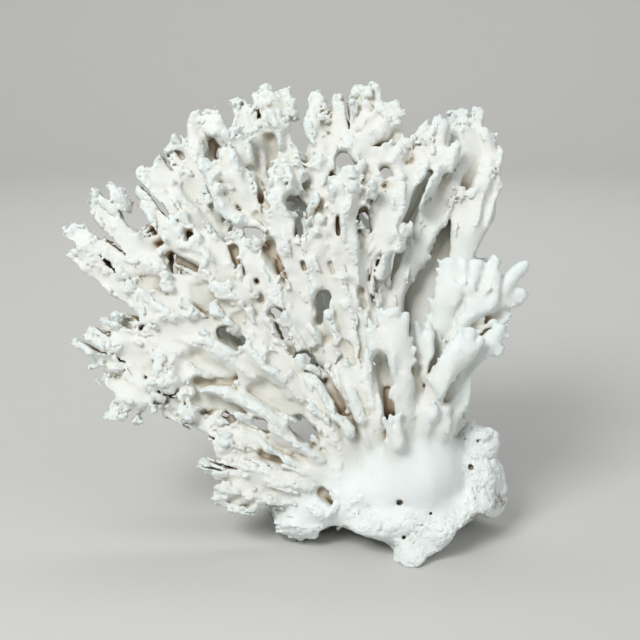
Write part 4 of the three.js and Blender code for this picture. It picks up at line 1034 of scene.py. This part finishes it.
def wander(points, spacing, seed):
    """Smooth random moves about -1 to 1 along each axis, that change every `spacing` mm."""
    lattice = np.random.default_rng(seed).uniform(-1, 1, (32, 32, 32, 3)).astype(np.float32)
    steps = (points - ORIGIN) / spacing
    first = steps.astype(int)
    t = steps - first
    t = t * t * (3 - 2 * t)
    moves = np.zeros((len(points), 3))
    for corner in np.ndindex(2, 2, 2):
        weight = np.prod([t[:, k] if corner[k] else 1 - t[:, k] for k in range(3)], axis=0)
        moves += weight[:, None] * lattice[tuple(((first + corner) % 32).T)]
    return moves


# The one skin has fewer faces where it is smooth, and is parted between the pieces along its own edges
ADAPTIVITY = 0.38
grid = openvdb.FloatGrid(background=3.0)
grid.copyFromArray(np.clip(skin / PITCH, -3, 3).astype(np.float32))
points, triangles, quads = grid.convertToPolygons(isovalue=0.0, adaptivity=ADAPTIVITY)
faces = main_shell(np.vstack([quads, triangles[:, [0, 1, 2, 2]]]).astype(np.int64), len(points))
used, faces = np.unique(faces, return_inverse=True)
points, faces = points[used] * PITCH + ORIGIN, faces.reshape(-1, 4)
points[:, 2] = np.maximum(points[:, 2], 0)
middles = points[faces].mean(1)
owner = np.zeros(len(faces), int)
nearest = np.full(len(faces), FAR, np.float32)
for index, (box, share) in enumerate(own.values()):
    place = ((middles - ORIGIN) / PITCH).round().astype(int) - [s.start for s in box]
    within = ((place >= 0) & (place < share.shape)).all(1)
    distance = np.full(len(faces), FAR, np.float32)
    distance[within] = share[tuple(place[within].T)]
    owner[distance < nearest] = index
    nearest = np.minimum(nearest, distance)
moves = 1.3 * wander(points, 15, 41) + 0.6 * wander(points, 6, 42)
bent = points + np.clip(points[:, 2:] / 15, 0, 1) * moves  # the cut stays flat
bent[:, 2] = np.maximum(bent[:, 2], 0)
whole = make_mesh("whole", bent, faces)
normals = np.zeros(3 * len(points))
whole.vertex_normals.foreach_get("vector", normals)
normals = normals.reshape(-1, 3)
bpy.data.meshes.remove(whole)

# What the finishes need to know at each point: how sheltered it is, for the painted shade of the hollows, how
# near the dome, where the crust and its dirt are, and how exposed the tips are, for their painted highlight.
# The dome's cooler, brighter white is painted light; it fades into the limbs over a few mm, so no line shows
# where the pieces part, and the limbs at the right have most of it too.
dirty_places = [(62, 40, 12), (44, 31, 8), (33, 22, 6), (11, 4, 8), (-6, 18, 5), (-34, 26, 6)]
BASE_FADE = 7
flat = (points + [0, BASE_SETBACK, BASE_DROP]) @ fan
box, share = own["holdfast"]
place = ((points - ORIGIN) / PITCH).round().astype(int) - [s.start for s in box]
within = ((place >= 0) & (place < share.shape)).all(1)
from_dome = np.full(len(points), FAR)
from_dome[within] = share[tuple(place[within].T)]
right, up, toward = flat.T
# Painted light: the limbs at the right are given most of the dome's brighter, cooler white
painted_light_at_right = np.clip((right - 5) / 25, 0, 1) * np.clip((205 - up) / 25, 0, 1) * np.clip((toward + 8) / 8, 0, 1)
fields = {
    "base": np.maximum(np.clip((FAR - from_dome) / BASE_FADE, 0, 1), 0.6 * painted_light_at_right),
    "crust": crust_share(flat),
    "shelter": sample(near_shelter, points + 4 * normals),
    "depth": sample(wide_shelter, points + 9 * normals),
    "tip": 0.55 * np.clip((0.42 - sample(near_shelter, points)) / 0.2, 0, 1),
    "dirt": sum(np.exp(-(((flat[:, 0] - u) ** 2 + (flat[:, 1] - v) ** 2) / radius**2))
                for u, v, radius in dirty_places),
}
pieces = {}
for index, name in enumerate(own):
    used, part = np.unique(faces[owner == index], return_inverse=True)
    mesh = make_mesh(name + "_skin", bent[used], part.reshape(-1, 4))
    mesh.normals_split_custom_set_from_vertices(normals[used])
    for attribute, values in fields.items():
        layer = mesh.attributes.new(attribute, "FLOAT", "POINT")
        layer.data.foreach_set("value", values[used].astype(np.float32))
    pieces[name] = bpy.data.objects.new(name + "_skin", mesh)
    bpy.context.scene.collection.objects.link(pieces[name])


# Bleached skeleton: chalky calcium carbonate, warm white, with a painted highlight of cooler white at the
# tips and painted shade, down to brown, in its hollows.
def linear(colour):
    """An sRGB hex colour as linear values with full alpha."""
    channels = [int(colour[i:i + 2], 16) / 255 for i in (1, 3, 5)]
    return (*(c / 12.92 if c <= 0.04045 else ((c + 0.055) / 1.055) ** 2.4 for c in channels), 1)


def node(tree, kind, settings, **links):
    """Adds a node, sets its properties and inputs, and links other nodes' outputs to its inputs."""
    new = tree.nodes.new(kind)
    for key, value in settings.items():
        if isinstance(key, str) and hasattr(new, key) and key not in new.inputs:
            setattr(new, key, value)
        else:
            new.inputs[key].default_value = value
    for key, source in links.items():
        tree.links.new(source, new.inputs[int(key[1:])] if key[0] == "_" else new.inputs[key])
    return new


# Painted shade: the colour goes from the skeleton's white to brown the more sheltered a place is, standing in
# for the shade of the hollows
LIMB_WHITE_AND_PAINTED_SHADE = [(0.2, "#ECEEEB"), (0.45, "#E7E8E2"), (0.65, "#D6D4C9"), (0.85, "#B1A189"), (1.1, "#755F46")]
# Painted light and shade: the dome's whites are brighter and cooler than the limbs', and darken to brown in
# its hollows
DOME_PAINTED_LIGHT_AND_SHADE = [(0.2, "#F1F8F7"), (0.5, "#EAF0EE"), (0.7, "#DBDAD1"), (0.9, "#B8AC96"), (1.1, "#86745A")]
GRAIN_SIZE = 0.0009  # metres
BLOTCHES, PORES, SPECKS = 60.0, 750.0, 260.0  # to the metre, so one every 17, 1.3 and 3.8 mm


def painted_shade_colour(tree, shade_stops, painted_shade_and_blotch):
    """The colour between open white and the painted shade of the hollows, by how much shade is painted at a
    place.
    """
    ramp = node(tree, "ShaderNodeValToRGB", {}, Fac=painted_shade_and_blotch)
    stops = ramp.color_ramp.elements
    stops[0].position, stops[0].color = shade_stops[0][0], linear(shade_stops[0][1])
    stops[1].position, stops[1].color = shade_stops[-1][0], linear(shade_stops[-1][1])
    for position, colour in shade_stops[1:-1]:
        stops.new(position).color = linear(colour)
    return ramp.outputs["Color"]


def coral_finish(title):
    """A matte finish with painted shade in sheltered places, with pores and a fine grain that is rougher on
    the crust.
    """
    finish = bpy.data.materials.new(title)
    finish.use_nodes = True
    tree = finish.node_tree
    shader = tree.nodes["Principled BSDF"]
    place = node(tree, "ShaderNodeTexCoord", {}).outputs["Object"]
    shelter, depth, base, broken, tip = (
        node(tree, "ShaderNodeAttribute", {"attribute_name": field}).outputs["Fac"]
        for field in ("shelter", "depth", "base", "crust", "tip"))
    blotch = node(tree, "ShaderNodeTexNoise", {"Scale": BLOTCHES, "Detail": 3.0}, Vector=place).outputs["Fac"]
    # Painted shade: how deep in the hollows a place lies, with random blotches of tone added
    painted_hollow_shade = node(tree, "ShaderNodeMath", {"operation": "MULTIPLY_ADD", 1: 0.35}, _0=depth, _2=shelter)
    painted_shade_and_blotch = node(tree, "ShaderNodeMath", {"operation": "MULTIPLY_ADD", 1: 0.22},
                  _0=blotch, _2=painted_hollow_shade.outputs[0]).outputs[0]
    colour = node(tree, "ShaderNodeMix", {"data_type": "RGBA"}, _0=base,
                  _6=painted_shade_colour(tree, LIMB_WHITE_AND_PAINTED_SHADE, painted_shade_and_blotch), _7=painted_shade_colour(tree, DOME_PAINTED_LIGHT_AND_SHADE, painted_shade_and_blotch))
    grain = node(tree, "ShaderNodeTexNoise", {"Scale": 1 / GRAIN_SIZE, "Detail": 3.0}, Vector=place)
    pores = node(tree, "ShaderNodeTexVoronoi", {"Scale": PORES}, Vector=place)
    rough = node(tree, "ShaderNodeMath", {"operation": "MULTIPLY_ADD", 1: 3.0, 2: 0.7}, _0=tip)
    cups = node(tree, "ShaderNodeMath", {"operation": "MULTIPLY"},
                _0=pores.outputs["Distance"], _1=rough.outputs[0])
    height = node(tree, "ShaderNodeMath", {"operation": "MULTIPLY_ADD", 1: 0.6},
                  _0=grain.outputs["Fac"], _2=cups.outputs[0])
    rougher = node(tree, "ShaderNodeMath", {"operation": "MULTIPLY_ADD", 1: 2.5, 2: 1.0}, _0=broken)
    relief = node(tree, "ShaderNodeMath", {"operation": "MULTIPLY"},
                  _0=height.outputs[0], _1=rougher.outputs[0])
    bump = node(tree, "ShaderNodeBump", {"Strength": 0.35, "Distance": 0.0005}, Height=relief.outputs[0])
    tree.links.new(bump.outputs["Normal"], shader.inputs["Normal"])
    shader.inputs["Roughness"].default_value = 0.85
    shader.inputs["Specular IOR Level"].default_value = 0.3
    return finish, tree, shader, place, colour.outputs[2]


skeleton, tree, shader, place, colour = coral_finish("bleached coral skeleton")
# Painted highlight: the exposed tips are mixed towards a cooler, bluish white
tip = node(tree, "ShaderNodeAttribute", {"attribute_name": "tip"}).outputs["Fac"]
mixed = node(tree, "ShaderNodeMix", {"data_type": "RGBA", 7: linear("#E0EDEC")}, _0=tip, _6=colour)
tree.links.new(mixed.outputs[2], shader.inputs["Base Color"])

# Broken crust: coarse grains of the same stuff, which the eye reads as crumbling, with brown dirt among them
crust, tree, shader, place, colour = coral_finish("granular broken crust")
dirt = node(tree, "ShaderNodeAttribute", {"attribute_name": "dirt"}).outputs["Fac"]
specks = node(tree, "ShaderNodeTexNoise", {"Scale": SPECKS,"Detail": 4.0, "Roughness": 0.7}, Vector=place)
amount = node(tree, "ShaderNodeMath", {"operation": "MULTIPLY"}, _0=dirt, _1=specks.outputs["Fac"])
sharp = node(tree, "ShaderNodeMapRange", {"From Min": 0.38, "From Max": 0.55, "To Max": 0.75},
             Value=amount.outputs[0])
mixed = node(tree, "ShaderNodeMix", {"data_type": "RGBA", 7: linear("#6E5540")},
             _0=sharp.outputs[0], _6=colour)
tree.links.new(mixed.outputs[2], shader.inputs["Base Color"])

for name, piece in pieces.items():
    piece.data.materials.append(crust if name == "holdfast" else skeleton)
    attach(piece, "root")
    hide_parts(name)

# A plain pale floor that curves up all round, and soft studio light
FLAT, WALL, CURVE = 2.2, 3.0, 0.9  # metres: where the floor ends, how high it rises, and the radius between
profile = [(0, 0), (FLAT, 0)]
profile += [(FLAT + CURVE * math.sin(a), CURVE * (1 - math.cos(a))) for a in np.linspace(0.2, math.pi / 2, 8)]
profile += [(FLAT + CURVE, WALL)]
ROUND = 48
rings = [[(r * math.cos(2 * math.pi * k / ROUND), r * math.sin(2 * math.pi * k / ROUND), h)
          for k in range(ROUND)] for r, h in profile[1:]]
corners = [(0, 0, 0)] + [corner for ring in rings for corner in ring]
faces = [(0, 1 + k, 1 + (k + 1) % ROUND) for k in range(ROUND)]
for ring in range(len(rings) - 1):
    for k in range(ROUND):
        a, b = 1 + ring * ROUND + k, 1 + ring * ROUND + (k + 1) % ROUND
        faces.append((a, a + ROUND, b + ROUND, b))
floor_mesh = bpy.data.meshes.new("floor")
floor_mesh.from_pydata(corners, [], faces)
floor_mesh.shade_smooth()
floor = bpy.data.objects.new("floor", floor_mesh)
bpy.context.scene.collection.objects.link(floor)
plain = bpy.data.materials.new("pale floor")
plain.use_nodes = True
plain.node_tree.nodes["Principled BSDF"].inputs["Base Color"].default_value = linear("#CFCECB")
plain.node_tree.nodes["Principled BSDF"].inputs["Roughness"].default_value = 0.9
floor.data.materials.append(plain)

world = bpy.data.worlds.new("studio")
world.use_nodes = True
world.node_tree.nodes["Background"].inputs["Color"].default_value = linear("#E6EAEE")
world.node_tree.nodes["Background"].inputs["Strength"].default_value = 0.5
bpy.context.scene.world = world


def soft_light(name, place, aim, size, power):
    """A square lamp `size` metres wide at a place, turned to shine on another."""
    lamp = bpy.data.lights.new(name, "AREA")
    lamp.size, lamp.energy = size, power
    light = bpy.data.objects.new(name, lamp)
    light.location = place
    way = np.array(aim) - place
    light.rotation_euler = (math.atan2(math.hypot(way[0], way[1]), -way[2]), 0,
                            math.atan2(-way[0], way[1]))
    bpy.context.scene.collection.objects.link(light)


soft_light("window", (-0.7, -1.0, 1.15), (-0.05, 0, 0.12), 0.6, 18)
soft_light("fill", (1.1, -0.7, 0.7), (0, 0, 0.12), 0.9, 3)
soft_light("backdrop", (0, 0.9, 2.0), (0, 3.0, 0.4), 1.5, 24)
bpy.context.scene.view_settings.view_transform = "Standard"
